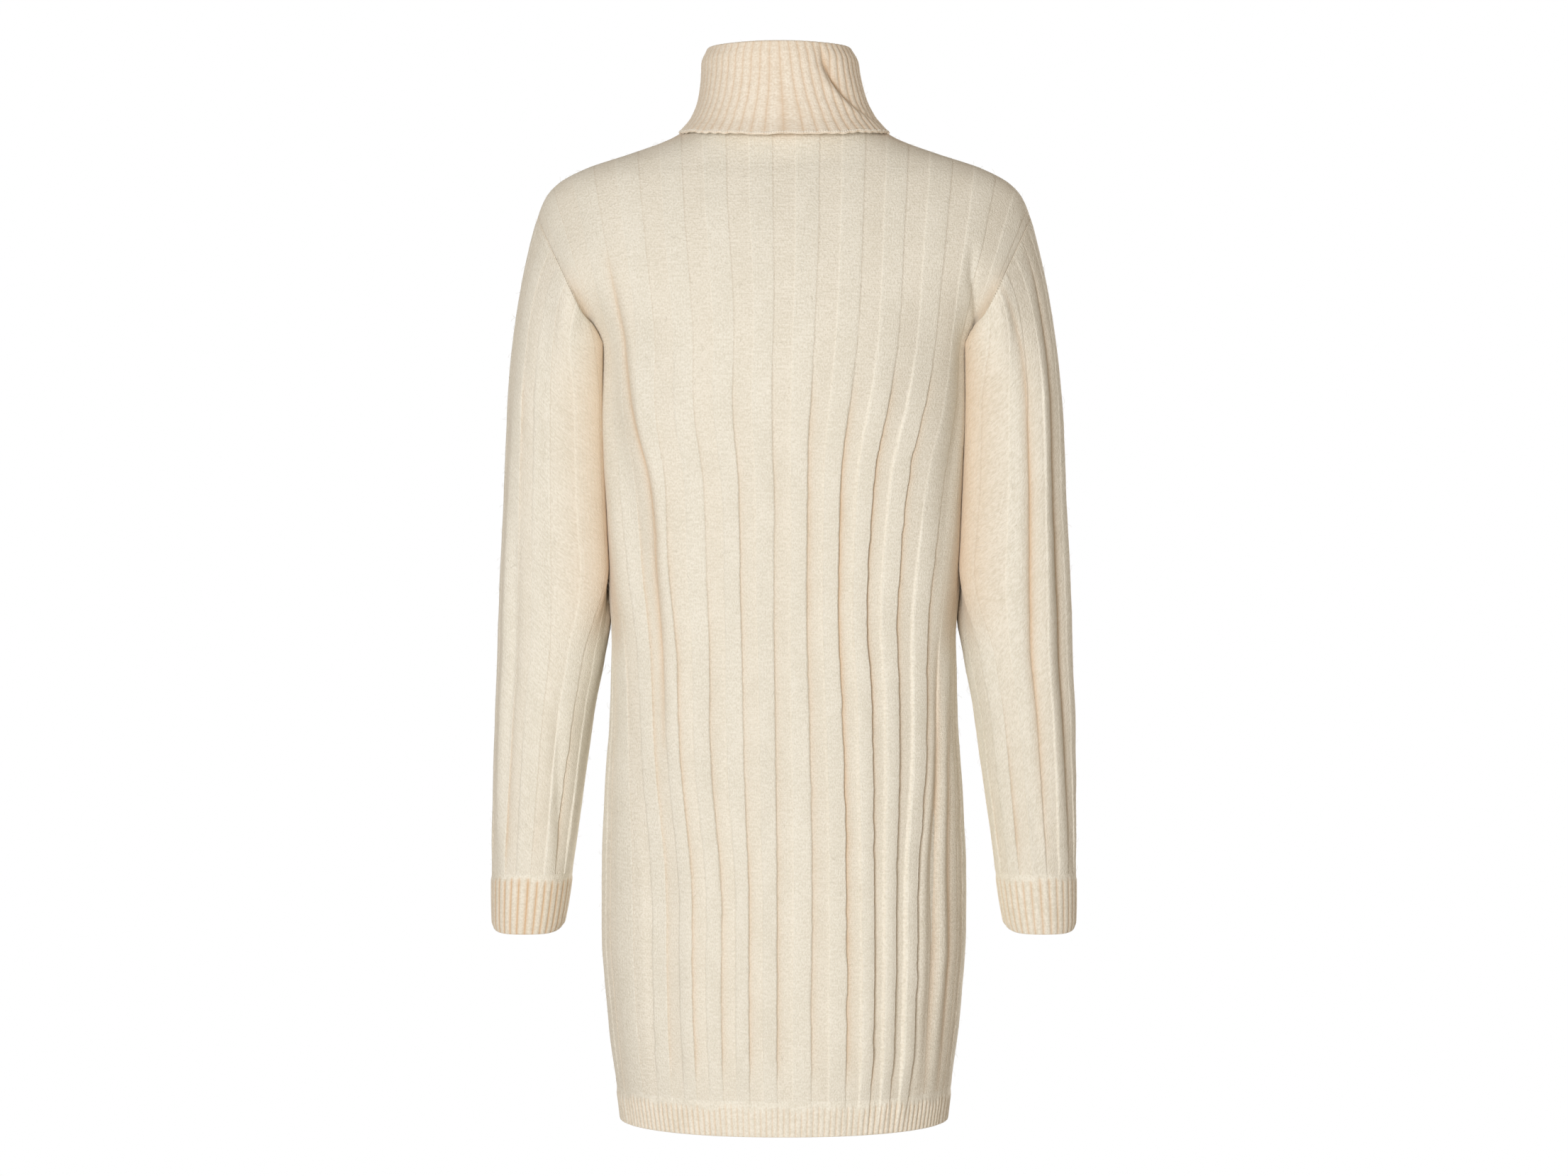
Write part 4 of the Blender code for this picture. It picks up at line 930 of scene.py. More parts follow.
def sleeve(name, side):
    seam, at, across, normal = armholeSeam
    mirror = np.array([side, 1, 1])
    capSteps = np.concatenate([edgeSteps * cloth["edge"] / arm["capLong"], np.linspace(0.035, 1.0, 36)])
    tubeHeights = np.linspace(arm["tube"], arm["cuffTop"] + cloth["aboveJoin"], arm["rows"])[1:]
    tubeHeights = np.concatenate([tubeHeights, arm["cuffTop"] + joinSteps])

    def faces(turn, ribbed):
        start, leave = around(at, seam, turn), around(at, across, turn)
        start = start + leave * cloth["seam"] / 2
        end = tubeRow(turn, arm["tube"])
        length = np.linalg.norm(end - start, axis=1, keepdims=True)
        downward = unit(end - start)
        atTop = (np.sin(math.pi * turn) ** 2)[:, None]
        (out, below), (pull, more, pullEnd) = arm["leave"], arm["pull"]
        first = unit(leave * out + downward * below) * length * (pull + more * atTop)
        last = unit(tubeRow(turn, arm["tube"] - 0.03) - end) * length * pullEnd
        rows = sweep(start, end, first, last, capSteps) + [tubeRow(turn, height) for height in tubeHeights]
        points = np.array(rows)
        points, near = againstBody(points)
        up = gridNormals(points, closed=True)
        up[0] = unit(around(at, normal, turn))
        rib = turn * arm["ribs"]
        spread = np.diff(np.concatenate([rib, [arm["ribs"] + rib[0]]]))
        spread = spread + np.roll(spread, 1)
        width = np.maximum(np.linalg.norm(acrossOf(points, True), axis=2) / spread, 0.02)
        height = points[..., 2]
        lift = foldLift(name, rib[None, :], height, width) * (1 - near)
        points = points + up * lift[..., None]
        up[-1, :, 2] = 0
        up[-1] = unit(up[-1])
        points[-1, :, 2] = arm["cuffTop"] - arm["lap"]
        fromTop = np.concatenate([capSteps * arm["capLong"], np.full(len(tubeHeights), 1.0)])[:, None]
        share = np.minimum(edgeShare(fromTop), edgeShare(height - arm["cuffTop"], "join"))
        high, grooveShade = np.zeros(height.shape), np.zeros(height.shape)
        if ribbed:
            seed = seeds[name]
            waver = waverOf(height, seed, arm["cuffTop"])
            beside = 1 - ease(np.minimum(rib, arm["ribs"] - rib) - 0.4)
            deep = relief(width, height, beside[None, :], arm["flatRib"])
            deep = deep * fadeOut(height, arm["cuffTop"], arm["cuffEnd"], arm["cuffFade"]) * (1 - near)
            high, grooveShade = wideRelief(stripesAt(rib, side)[None, :], waver, deep)
            high = high + uneven(height.shape, seed + seedsOn["uneven"]) * (1 - near)
            high = high * ease(fromTop / cloth["fadeTop"])
            # painted shade in creases, along the armhole seam and where the sleeve lies against the body
            crease = creaseShade(name, rib[None, :], height, width)
            grooveShade = addPaintedShade(grooveShade, crease=crease, seam=1 - ease(fromTop / cloth["edge"]), besideBody=near)
        outer, inner = walls(points, up, cloth["wide"], high, share)
        return outer * mirror, inner * mirror, grooveShade, runDown(points)

    ribs = arm["ribs"]
    rib = np.concatenate([n + ribPhases for n in range(ribs)])
    rib = rib if side > 0 else np.sort(np.mod(stripesAt(rib, side), ribs))
    outer, _, grooveShade, down = faces(rib / ribs, True)
    plain = np.arange(8 * ribs) / 8
    _, inner, _, plainDown = faces(plain / ribs, False)
    rows = thinned(len(inner))
    inside = (inner[rows], plain + 0.5, plainDown[rows], 0.0)
    return shell(name, (outer, stripesAt(rib, side), down, grooveShade), inside, ribs)


corner = {"reach": 0.008, "rise": 0.0026, "inward": 0.0010}  # how the cuff's end rounds off at its sides


def cuff(name, side):
    mirror = np.array([side, 1, 1])
    long = arm["cuffTop"] - arm["cuffEnd"]
    drop = dropsOf(long)
    ribs = arm["cuffRibs"]

    def faces(turn, ribbed):
        points = np.array([tubeRow(turn, arm["cuffTop"] - step) for step in drop])
        points[0, :, 2] -= cloth["belowJoin"]
        up = gridNormals(points, closed=True)
        up[..., 2] = 0
        up = unit(up)
        toEnd = ease((drop - (long - corner["reach"])) / corner["reach"])[:, None]
        sideways = np.abs(np.cos(2 * math.pi * turn))[None, :] ** 5
        points = points - up * (corner["inward"] * toEnd * (0.6 + sideways))[..., None]
        points[..., 2] += corner["rise"] * toEnd * sideways
        left = np.minimum(edgeShare(long - drop), edgeShare(drop, "join"))[:, None]
        high, grooveShade = np.zeros(points.shape[:2]), np.zeros(points.shape[:2])
        if ribbed:
            rib = turn * arm["ribs"]
            carriedOn = fadeOut(points[..., 2], arm["cuffTop"], arm["cuffEnd"], arm["cuffFade"])
            deep = body["ribHeight"] * carriedOn
            carried, grooveShade = wideRelief(stripesAt(rib, side)[None, :], 0.0, deep)
            # painted shade in the grooves between the fine ribs, and over the whole left cuff
            warm, shadeAllOver = paintedShade["cuff"][side], paintedShade["cuffShadeAll"][side]
            strong = fineRib["cuffRelief"]
            high, grooveShade = fineBand(turn * ribs, drop, seeds["cuff"], carried, grooveShade, strong, warm, shadeAllOver)
        outer, inner = walls(points, up, bandCloth(drop), high, left)
        return outer * mirror, inner * mirror, grooveShade

    turn = np.arange(8 * ribs) / (8 * ribs)
    plain = np.arange(3 * ribs) / (3 * ribs)
    outer, _, grooveShade = faces(turn, True)
    _, inner, _ = faces(plain, False)
    return shell(name, (outer, turn * ribs, drop, grooveShade), (inner, plain * ribs + 0.5, drop, 0.0), ribs)


def neckSeam():  # from the centre back by the right: points, the direction off the panels, and the normal
    rib = np.linspace(-body["neckRibs"], body["neckRibs"], 81)
    found = []
    for piece in ("back", "front"):
        rows = np.array([yokeRow(piece, rib, rise) for rise in (1.0, 0.993)])
        up = gridNormals(rows, closed=False)[0] * (1 if piece == "back" else -1)
        found.append((rows[0], up))
    (back, backUp), (front, frontUp) = found
    half = len(rib) // 2
    ends = {i: (np.array([back[i][0], 0.0, back[i][2]]), unit(backUp[i] + frontUp[i])) for i in (0, -1)}
    points = np.array([*back[half:-1], ends[-1][0], *front[-2:0:-1], ends[0][0], *back[1:half]])
    up = np.array([*backUp[half:-1], ends[-1][1], *frontUp[-2:0:-1], ends[0][1], *backUp[1:half]])
    tangent = unit(np.roll(points, -1, axis=0) - np.roll(points, 1, axis=0))
    up = unit(up - tangent * np.sum(up * tangent, axis=1, keepdims=True))
    away = unit(np.cross(tangent, up))
    return points, away * np.sign(away[:, 2:]), up


def collar(name):
    seam, away, seamUp = neckSeam()
    seam = seam + away * cloth["seam"]
    angle = np.arctan2(seam[:, 0] / body["neckPoint"][0], -seam[:, 1] / 0.066)
    at = np.unwrap(angle) / (2 * math.pi)
    half, bend = cloth["fine"] / 2, neck["layers"] / 2
    low, top = collarTable["height"][0], collarTable["height"][-1]
    outside = np.concatenate([low + np.array([0, 0.0003, 0.0008, 0.0016]), np.linspace(low + 0.003, top, 36)])
    swings = np.linspace(0, math.pi, 10)[1:]
    rings = np.linspace(0, 1, 26)[1:-1]
    ribs = neck["ribs"]

    def rowsAt(turn):
        sine, cosine = np.sin(2 * math.pi * turn), np.cos(2 * math.pi * turn)
        behind = cosine > 0
        waves = 0.6 * np.sin(6 * math.pi * turn + 1.0) + 0.7 * np.sin(22 * math.pi * turn)
        waves = waves + 0.6 * np.cos(38 * math.pi * turn)
        atRibs = 0.12 * np.cos(2 * math.pi * ribs * turn)
        ripple = neck["wave"] * (waves / 2.3 + atRibs + 0.4 * np.sin(97 * math.pi * turn))

        def level(height, inward, rise=0.0):
            names = ("halfWidth", "back", "front", "square", "dip", "lean")
            width, back, front, square, dip, lean = (smoothAt(collarTable, name, height) for name in names)
            drop, reach = neck["sideDrop"]
            fall = np.where(behind, neck["dip"]["back"], neck["dip"]["front"]) * cosine**2
            fall = fall + drop * (1 - (1 - np.clip(np.abs(cosine) / reach, 0, 1)) ** 2)
            up = ((height - low) / (top - low)) ** 2
            crown = neck["crown"][0] * (1 - np.abs(sine) ** 3) + neck["crown"][1] * sine**4
            free = np.clip(1 - (height - low) / neck["waveReach"], 0, 1)
            deep = np.where(behind, back, front)
            x = (width - inward) * squarer(sine, 2 / square) + neck["lean"][0] * lean
            y = -(deep - inward) * squarer(cosine, 2 / square) + neck["lean"][1] * lean
            return np.stack([x, y, height + rise - dip * fall + crown * up + ripple * free], 1)

        rows = [level(height, half) for height in outside]
        rows += [level(top, half + bend * (1 - math.cos(swing)), bend * math.sin(swing)) for swing in swings]
        start = rows[-1]
        spot = (turn - at[0]) % 1
        end = around(at - at[0], seam, spot) - around(at - at[0], seamUp, spot) * half
        leave = around(at - at[0], away, spot)
        length = np.linalg.norm(end - start, axis=1, keepdims=True)
        below = neck["turnBy"]
        shift = smoothAt(collarTable, "lean", below) - smoothAt(collarTable, "lean", top)
        first = np.array([[neck["lean"][0] * shift, neck["lean"][1] * shift, below - top]])
        first = unit(first) * length * 0.9
        last = -leave * length * 0.5
        rows = np.array([*rows, *sweep(start, end, first, last, rings), end])
        seen = -gridNormals(rows, closed=True)
        lift = foldLift(name, (turn * ribs)[None, :], rows[..., 2], neck["ribWidth"])
        lift[-len(rings) - 1 :] *= ease(np.linspace(2, 0, len(rings) + 1))[:, None]  # both layers dent alike
        outward = unit(rows * np.array([1, 1, 0]))
        return rows + outward * lift[..., None], seen

    def faces(turn, ribbed):
        middle, seen = rowsAt(turn)
        down = runDown(middle)
        folded = len(outside) + len(swings)
        left = edgeShare(np.minimum(down, down[-1] - down))
        high, grooveShade = np.zeros(middle.shape[:2]), np.zeros(middle.shape[:2])
        fade = np.ones(len(middle))
        fade[folded:] = np.linspace(0.8, 0.25, len(middle) - folded)
        if ribbed:
            least, more, soon = neck["relief"]
            strong = least + more * ease(np.sin(2 * math.pi * turn) / soon)
            strong = np.where(np.cos(2 * math.pi * turn) > -0.4, strong, neck["frontRelief"])[None, :]
            fine = fineProfile(turn * ribs)[None, :]
            top = len(outside) + len(swings) / 2
            fade = fade * (0.35 + 0.65 * ease((np.abs(np.arange(len(middle)) - top) - 3) / 5))
            high = fine * fineRib["height"] * fade[:, None] * strong
            crease = creaseShade(name, (turn * ribs)[None, :], middle[..., 2], neck["ribWidth"])
            # painted shade in the grooves between the ribs and in the crease
            grooveShade = np.maximum(paintedShade["collar"] * (1 - fine) * (0.35 + 0.65 * strong), crease)
        outer = middle + seen * ((half + high) * left)[..., None]
        return outer, middle - seen * (half * left)[..., None], grooveShade, down.mean(1)

    turn = np.arange(8 * ribs) / (8 * ribs)
    plain = np.arange(4 * ribs) / (4 * ribs)
    outer, _, grooveShade, down = faces(turn, True)
    _, inner, _, plainDown = faces(plain, False)
    return shell(name, (outer, turn * ribs, down, grooveShade), (inner, plain * ribs + 0.5, plainDown, 0.0), ribs)


def newGroup(name, inputs, outputs):
    tree = bpy.data.node_groups.new(name, "ShaderNodeTree")
    for label, kind, value in inputs:
        socket = tree.interface.new_socket(label, in_out="INPUT", socket_type="NodeSocket" + kind)
        if value is not None:
            socket.default_value = value
    for label, kind in outputs:
        tree.interface.new_socket(label, in_out="OUTPUT", socket_type="NodeSocket" + kind)
    return tree, tree.nodes.new("NodeGroupInput").outputs, tree.nodes.new("NodeGroupOutput").inputs


def give(tree, socket, value):  # a link from another socket, or a plain value
    if isinstance(value, bpy.types.NodeSocket):
        tree.links.new(value, socket)
    else:
        socket.default_value = value


def addNode(tree, kind, values, **settings):
    node = tree.nodes.new(kind)
    for label, value in settings.items():
        setattr(node, label, value)
    for label, value in values.items():
        give(tree, node.inputs[label], value)
    return node


def calc(tree, operation, *values):
    node = tree.nodes.new("ShaderNodeMath")
    node.operation = operation
    for socket, value in zip(node.inputs, values):
        give(tree, socket, value)
    return node.outputs[0]


def times(tree, first, second):
    return calc(tree, "MULTIPLY", first, second)


def stepBetween(tree, value, low, high, toLow=0.0, toHigh=1.0):
    node = tree.nodes.new("ShaderNodeMapRange")
    node.interpolation_type = "SMOOTHSTEP"
    labels = ("Value", "From Min", "From Max", "To Min", "To Max")
    for label, part in zip(labels, (value, low, high, toLow, toHigh)):
        give(tree, node.inputs[label], part)
    return node.outputs[0]


def blendColour(tree, kind, amount, first, second):
    node = tree.nodes.new("ShaderNodeMix")
    node.data_type = "RGBA"
    node.blend_type = kind
    for index, value in ((0, amount), (6, first), (7, second)):
        give(tree, node.inputs[index], value)
    return node.outputs[2]


def grainAt(tree, spot, scale, stretch=(1, 1, 1), detail=2.0):
    sized = tree.nodes.new("ShaderNodeVectorMath")
    sized.operation = "MULTIPLY"
    give(tree, sized.inputs[0], spot)
    sized.inputs[1].default_value = [scale * part for part in stretch]
    node = tree.nodes.new("ShaderNodeTexNoise")
    tree.links.new(sized.outputs[0], node.inputs["Vector"])
    node.inputs["Scale"].default_value = 1.0
    node.inputs["Detail"].default_value = detail
    return node.outputs[0]


def ribPlaceGroup():  # turns rib count and way down into metres, wales, courses and the place in a rib
    tree, given, out = newGroup(
        "ribPlace",
        (("Place", "Vector", None), ("Rib Width", "Float", 0.038), ("Wales", "Float", 16.0),
         ("Course", "Float", 0.0017), ("Zigzag", "Float", 0.06), ("Seed", "Float", 0.0)),
        (("Spot", "Vector"), ("Wale", "Float"), ("Row", "Float"), ("Phase", "Float")),
    )
    split, join = tree.nodes.new("ShaderNodeSeparateXYZ"), tree.nodes.new("ShaderNodeCombineXYZ")
    tree.links.new(given["Place"], split.inputs[0])
    across, down = split.outputs[0], split.outputs[1]
    give(tree, join.inputs[0], times(tree, across, given["Rib Width"]))
    give(tree, join.inputs[1], down)
    give(tree, join.inputs[2], given["Seed"])
    tree.links.new(join.outputs[0], out["Spot"])
    tree.links.new(times(tree, across, given["Wales"]), out["Wale"])
    tree.links.new(calc(tree, "DIVIDE", down, given["Course"]), out["Row"])
    zigzag = calc(tree, "SUBTRACT", grainAt(tree, join.outputs[0], 420.0, (0.2, 1, 1)), 0.5)
    zigzag = times(tree, zigzag, given["Zigzag"])
    tree.links.new(calc(tree, "FRACT", calc(tree, "ADD", across, zigzag)), out["Phase"])
    return tree


def ribLinesGroup():  # knit stripes, a painted shade line at their right edge and a painted highlight line at their left, as if lit from the left
    tree, given, out = newGroup(
        "ribLines",
        (("Phase", "Float", 0.0), ("Line Width", "Float", 0.018), ("Half Knit", "Float", 0.25)),
        (("Knit", "Float"), ("Dark", "Float"), ("Light", "Float")),
    )
    off = calc(tree, "ABSOLUTE", calc(tree, "SUBTRACT", given["Phase"], 0.5))
    edge = [calc(tree, "ADD", given["Half Knit"], way) for way in (-0.015, 0.015)]
    tree.links.new(stepBetween(tree, off, *edge, 1.0, 0.0), out["Knit"])
    for label, place in (("Dark", 0.757), ("Light", 0.243)):
        away = calc(tree, "ABSOLUTE", calc(tree, "SUBTRACT", given["Phase"], place))
        tree.links.new(stepBetween(tree, away, 0.0, given["Line Width"], 1.0, 0.0), out[label])
    return tree


def stitchesGroup():  # V stitches on the knit stripes, rows of bumps on the purl ones; Gap and Between say where painted shade falls between loops
    tree, given, out = newGroup(
        "stitches",
        (("Wale", "Float", 0.0), ("Row", "Float", 0.0), ("Knit", "Float", 1.0)),
        (("Height", "Float"), ("Gap", "Float"), ("Between", "Float")),
    )
    inWale = calc(tree, "FRACT", given["Wale"])
    slant = calc(tree, "ABSOLUTE", calc(tree, "SUBTRACT", inWale, 0.5))
    inLeg = calc(tree, "FRACT", times(tree, inWale, 2.0))
    leg = calc(tree, "SINE", times(tree, inLeg, math.pi))
    turn = calc(tree, "FRACT", calc(tree, "ADD", given["Row"], times(tree, slant, 1.1)))
    row = calc(tree, "POWER", calc(tree, "SINE", times(tree, turn, math.pi)), 0.6)
    knit = times(tree, calc(tree, "ADD", times(tree, leg, 0.75), 0.25), row)
    every = times(tree, calc(tree, "FLOOR", given["Row"]), 0.5)
    bump = calc(tree, "SINE", times(tree, calc(tree, "ADD", inWale, every), 2 * math.pi))
    purlRow = calc(tree, "SINE", times(tree, calc(tree, "FRACT", given["Row"]), math.pi))
    purl = times(tree, purlRow, calc(tree, "ADD", times(tree, bump, 0.25), 0.75))
    mix = tree.nodes.new("ShaderNodeMix")
    for index, value in ((0, given["Knit"]), (2, purl), (3, knit)):
        give(tree, mix.inputs[index], value)
    tree.links.new(mix.outputs[0], out["Height"])
    tree.links.new(calc(tree, "SUBTRACT", 1.0, mix.outputs[0]), out["Gap"])
    beside = stepBetween(tree, slant, 0.36, 0.50)
    tree.links.new(times(tree, beside, given["Knit"]), out["Between"])
    return tree


def heatherGroup():  # mixed fibres: fine grain, streaks along the rows and broad mottling
    tree, given, out = newGroup(
        "heather",
        (("Colour", "Color", None), ("Deep", "Color", None), ("Spot", "Vector", None),
         ("Grain", "Float", 0.1), ("Streaks", "Float", 0.1), ("Mottle", "Float", 0.1)),
        (("Colour", "Color"), ("Fibre", "Float")),
    )
    spot = given["Spot"]
    fibre = grainAt(tree, spot, 620.0, (1, 0.8, 1), 3.0)
    total = 0.0
    parts = (
        (fibre, "Grain"),
        (grainAt(tree, spot, 110.0, (1, 4.5, 1), 3.0), "Streaks"),
        (grainAt(tree, spot, 30.0, (1, 0.8, 1), 3.0), "Mottle"),
    )
    for value, label in parts:
        spread = times(tree, calc(tree, "SUBTRACT", value, 0.5), given[label])
        total = calc(tree, "ADD", total, spread)
    amount = calc(tree, "ADD", total, 0.5)
    amount.node.use_clamp = True
    tree.links.new(blendColour(tree, "MIX", amount, given["Deep"], given["Colour"]), out["Colour"])
    tree.links.new(fibre, out["Fibre"])
    return tree


def warmShadeGroup():  # painted shade: grooves turn warm and dark, then the painted shade line and the painted highlight line go on
    tree, given, out = newGroup(
        "warmShade",
        (("Colour", "Color", None), ("Groove", "Float", 0.0), ("Warm", "Color", None),
         ("Line", "Color", None), ("Dark", "Float", 0.0), ("Pale", "Color", None), ("Light", "Float", 0.0)),
        (("Colour", "Color"),),
    )
    warm = blendColour(tree, "MIX", given["Groove"], given["Colour"], given["Warm"])
    lined = blendColour(tree, "MIX", given["Dark"], warm, given["Line"])
    tree.links.new(blendColour(tree, "MIX", given["Light"], lined, given["Pale"]), out["Colour"])
    return tree


groups = {
    "place": ribPlaceGroup(),
    "lines": ribLinesGroup(),
    "stitches": stitchesGroup(),
    "heather": heatherGroup(),
    "shade": warmShadeGroup(),
}

# dark, light: the painted shade and painted highlight lines at a wide stripe's edges; purl, groove: painted
# shade on purl stripes and in grooves; edge: a line's width, half a stripe and its zigzag
wideKnit = {"ribWidth": 0.038, "wales": 16, "loops": 0.20, "fuzz": 1.5, "edge": (0.022, 0.25, 0.063)}
fineKnit = {"wales": 2, "loops": 0.10, "fuzz": 0.8, "edge": (0.09, 0.60, 0.10), "grooveShade": 0.95}
fineKnit |= {"dark": 0.0, "light": 0.0, "purl": 0.0}
knits = {
    "wide": {**wideKnit, "dark": 0.18, "light": 0.34, "purl": 0.05, "grooveShade": 0.85},
    "front": {**wideKnit, "dark": 0.34, "light": 0.44, "purl": 0.06, "grooveShade": 0.60},
    "hem": {**fineKnit, "ribWidth": 0.0065},
    "fine": {**fineKnit, "ribWidth": 0.0072},
}
yarn = {
    "cream": (0.862, 0.844, 0.762),
    "creamDeep": (0.725, 0.700, 0.606),
    "rosy": (0.925, 0.870, 0.765),
    "rosyDeep": (0.800, 0.720, 0.600),
    # warm, line, pale: colours of the painted shade, the painted shade line and the painted highlight line
    "warm": (0.650, 0.440, 0.255),
    "line": (0.420, 0.320, 0.215),
    "pale": (0.940, 0.910, 0.810),
    "course": 0.0017,
    "grain": 3.2,
    "streaks": 1.3,
    "mottle": 0.9,
    "gaps": 0.06,  # painted shade between the rows of stitches
    "between": 0.07,  # and painted shade between the wales
    "bump": {"Strength": 0.9, "Distance": 0.00055},
    "surface": {"Roughness": 0.92, "Specular IOR Level": 0.15, "Sheen Weight": 0.35},
    "nap": {"Sheen Roughness": 0.55, "Sheen Tint": (1.0, 0.95, 0.86, 1)},
}


def placeGroup(tree, kind, **values):
    node = tree.nodes.new("ShaderNodeGroup")
    node.node_tree = groups[kind]
    for label, value in values.items():
        give(tree, node.inputs[label], value)
    return node


def woolMaterial(name):
    material = bpy.data.materials.new(name)
    material.use_nodes = True
    shader = material.node_tree.nodes["Principled BSDF"]
    for label, value in yarn["surface"].items():
        shader.inputs[label].default_value = value
    return material, material.node_tree, shader


def knitMaterial(name, kind, tone, seed):
    knit = knits[kind]
    material, tree, shader = woolMaterial(name)
    uv = tree.nodes.new("ShaderNodeUVMap")
    uv.uv_map = "knit"
    shadeAttribute = tree.nodes.new("ShaderNodeAttribute")
    shadeAttribute.attribute_name = "grooveShade"
    line, half, zigzag = knit["edge"]
    labels = {"Rib Width": knit["ribWidth"], "Wales": knit["wales"], "Course": yarn["course"]}
    place = placeGroup(tree, "place", Place=uv.outputs[0], Zigzag=zigzag, Seed=seed, **labels)
    labels = {"Line Width": line, "Half Knit": half}
    lines = placeGroup(tree, "lines", Phase=place.outputs["Phase"], **labels)
    stitch = {label: place.outputs[label] for label in ("Wale", "Row")}
    stitches = placeGroup(tree, "stitches", Knit=lines.outputs["Knit"], **stitch)
    colours = {"Colour": (*yarn[tone], 1), "Deep": (*yarn[tone + "Deep"], 1)}
    mix = {label: yarn[label.lower()] for label in ("Grain", "Streaks", "Mottle")}
    heather = placeGroup(tree, "heather", Spot=place.outputs["Spot"], **colours, **mix)
    # painted shade: the mesh's groove shade, the purl stripes and the gaps between stitches mix toward the
    # warm colour
    gaps = times(tree, stitches.outputs["Gap"], yarn["gaps"])
    gaps = calc(tree, "ADD", gaps, times(tree, stitches.outputs["Between"], yarn["between"]))
    purl = times(tree, calc(tree, "SUBTRACT", 1.0, lines.outputs["Knit"]), knit["purl"])
    meshShade = times(tree, shadeAttribute.outputs["Fac"], knit["grooveShade"])
    warm = calc(tree, "ADD", calc(tree, "ADD", meshShade, purl), gaps)
    warm.node.use_clamp = True
    colours = {label: (*yarn[label.lower()], 1) for label in ("Warm", "Line", "Pale")}
    # painted shade line and painted highlight line at the stripes' edges
    edges = {}
    for label in ("Dark", "Light"):
        edges[label] = times(tree, lines.outputs[label], knit[label.lower()])
    shade = placeGroup(tree, "shade", Colour=heather.outputs["Colour"], Groove=warm, **colours, **edges)
    tree.links.new(shade.outputs["Colour"], shader.inputs["Base Color"])
    fuzzy = times(tree, heather.outputs["Fibre"], knit["fuzz"])
    loops = times(tree, stitches.outputs["Height"], knit["loops"])
    bump = addNode(tree, "ShaderNodeBump", {**yarn["bump"], "Height": calc(tree, "ADD", loops, fuzzy)})
    tree.links.new(bump.outputs[0], shader.inputs["Normal"])
    for label, value in yarn["nap"].items():
        shader.inputs[label].default_value = value
    return material


def threadMaterial(name, colour):
    material, tree, shader = woolMaterial(name)
    where = tree.nodes.new("ShaderNodeTexCoord")
    deep = [0.78 * part for part in colour]
    heather = placeGroup(tree, "heather", Colour=(*colour, 1), Deep=(*deep, 1), Spot=where.outputs["Object"])
    tree.links.new(heather.outputs["Colour"], shader.inputs["Base Color"])
    return material


def growTree(name, inputs):
    tree = bpy.data.node_groups.new(name, "GeometryNodeTree")
    tree.is_modifier = True
    tree.interface.new_socket("Geometry", in_out="INPUT", socket_type="NodeSocketGeometry")
    for label, kind, value in inputs:
        socket = tree.interface.new_socket(label, in_out="INPUT", socket_type="NodeSocket" + kind)
        if value is not None:
            socket.default_value = value
    tree.interface.new_socket("Material", in_out="INPUT", socket_type="NodeSocketMaterial")
    tree.interface.new_socket("Geometry", in_out="OUTPUT", socket_type="NodeSocketGeometry")
    return tree, tree.nodes.new("NodeGroupInput").outputs, tree.nodes.new("NodeGroupOutput").inputs[0]


def placeCopies(tree, given, out, points, copy, rotation, sizes):  # copies at random sizes, as a plain mesh
    vary = addNode(tree, "FunctionNodeRandomValue", {"Seed": given["Seed"]}, data_type="FLOAT")
    vary.inputs[2].default_value, vary.inputs[3].default_value = sizes
    values = {"Points": points, "Instance": copy, "Rotation": rotation, "Scale": vary.outputs[1]}
    placed = addNode(tree, "GeometryNodeInstanceOnPoints", values)
    real = addNode(tree, "GeometryNodeRealizeInstances", {"Geometry": placed.outputs[0]})
    smooth = addNode(tree, "GeometryNodeSetShadeSmooth", {"Geometry": real.outputs[0]})
    values = {"Geometry": smooth.outputs[0], "Material": given["Material"]}
    tree.links.new(addNode(tree, "GeometryNodeSetMaterial", values).outputs[0], out)
    return tree


def chainTree():  # a V of two legs at each point, lying along the seam
    tree, given, out = growTree(
        "chainStitches",
        (("Leg Length", "Float", 0.0027), ("Leg Width", "Float", 0.0009), ("Leg Height", "Float", 0.0008),
         ("Slant", "Float", 0.32), ("Apart", "Float", 0.00045), ("Seed", "Int", 4)),
    )
    leg = addNode(tree, "GeometryNodeMeshUVSphere", {"Segments": 6, "Rings": 3, "Radius": 0.5})
    sizes = (given["Leg " + label] for label in ("Length", "Width", "Height"))
    size = addNode(tree, "ShaderNodeCombineXYZ", dict(enumerate(sizes)))
    both = tree.nodes.new("GeometryNodeJoinGeometry")
    for side in (1, -1):
        place = addNode(tree, "ShaderNodeCombineXYZ", {1: times(tree, given["Apart"], side)})
        turn = addNode(tree, "ShaderNodeCombineXYZ", {2: times(tree, given["Slant"], side)})
        values = {"Geometry": leg.outputs["Mesh"], "Translation": place.outputs[0], "Scale": size.outputs[0]}
        laid = addNode(tree, "GeometryNodeTransform", values)
        tree.links.new(turn.outputs[0], laid.inputs["Rotation"])
        tree.links.new(laid.outputs[0], both.inputs[0])
    points = addNode(tree, "GeometryNodeMeshToPoints", {"Mesh": given["Geometry"]})
    turned = None
    for label, axis, pivot in (("along", "X", "AUTO"), ("outward", "Z", "X")):
        named = addNode(tree, "GeometryNodeInputNamedAttribute", {"Name": label}, data_type="FLOAT_VECTOR")
        ways = {"axis": axis, "pivot_axis": pivot}
        node = addNode(tree, "FunctionNodeAlignRotationToVector", {"Vector": named.outputs[0]}, **ways)
        if turned:
            tree.links.new(turned, node.inputs["Rotation"])
        turned = node.outputs[0]
    return placeCopies(tree, given, out, points.outputs[0], both.outputs[0], turned, (0.85, 1.15))


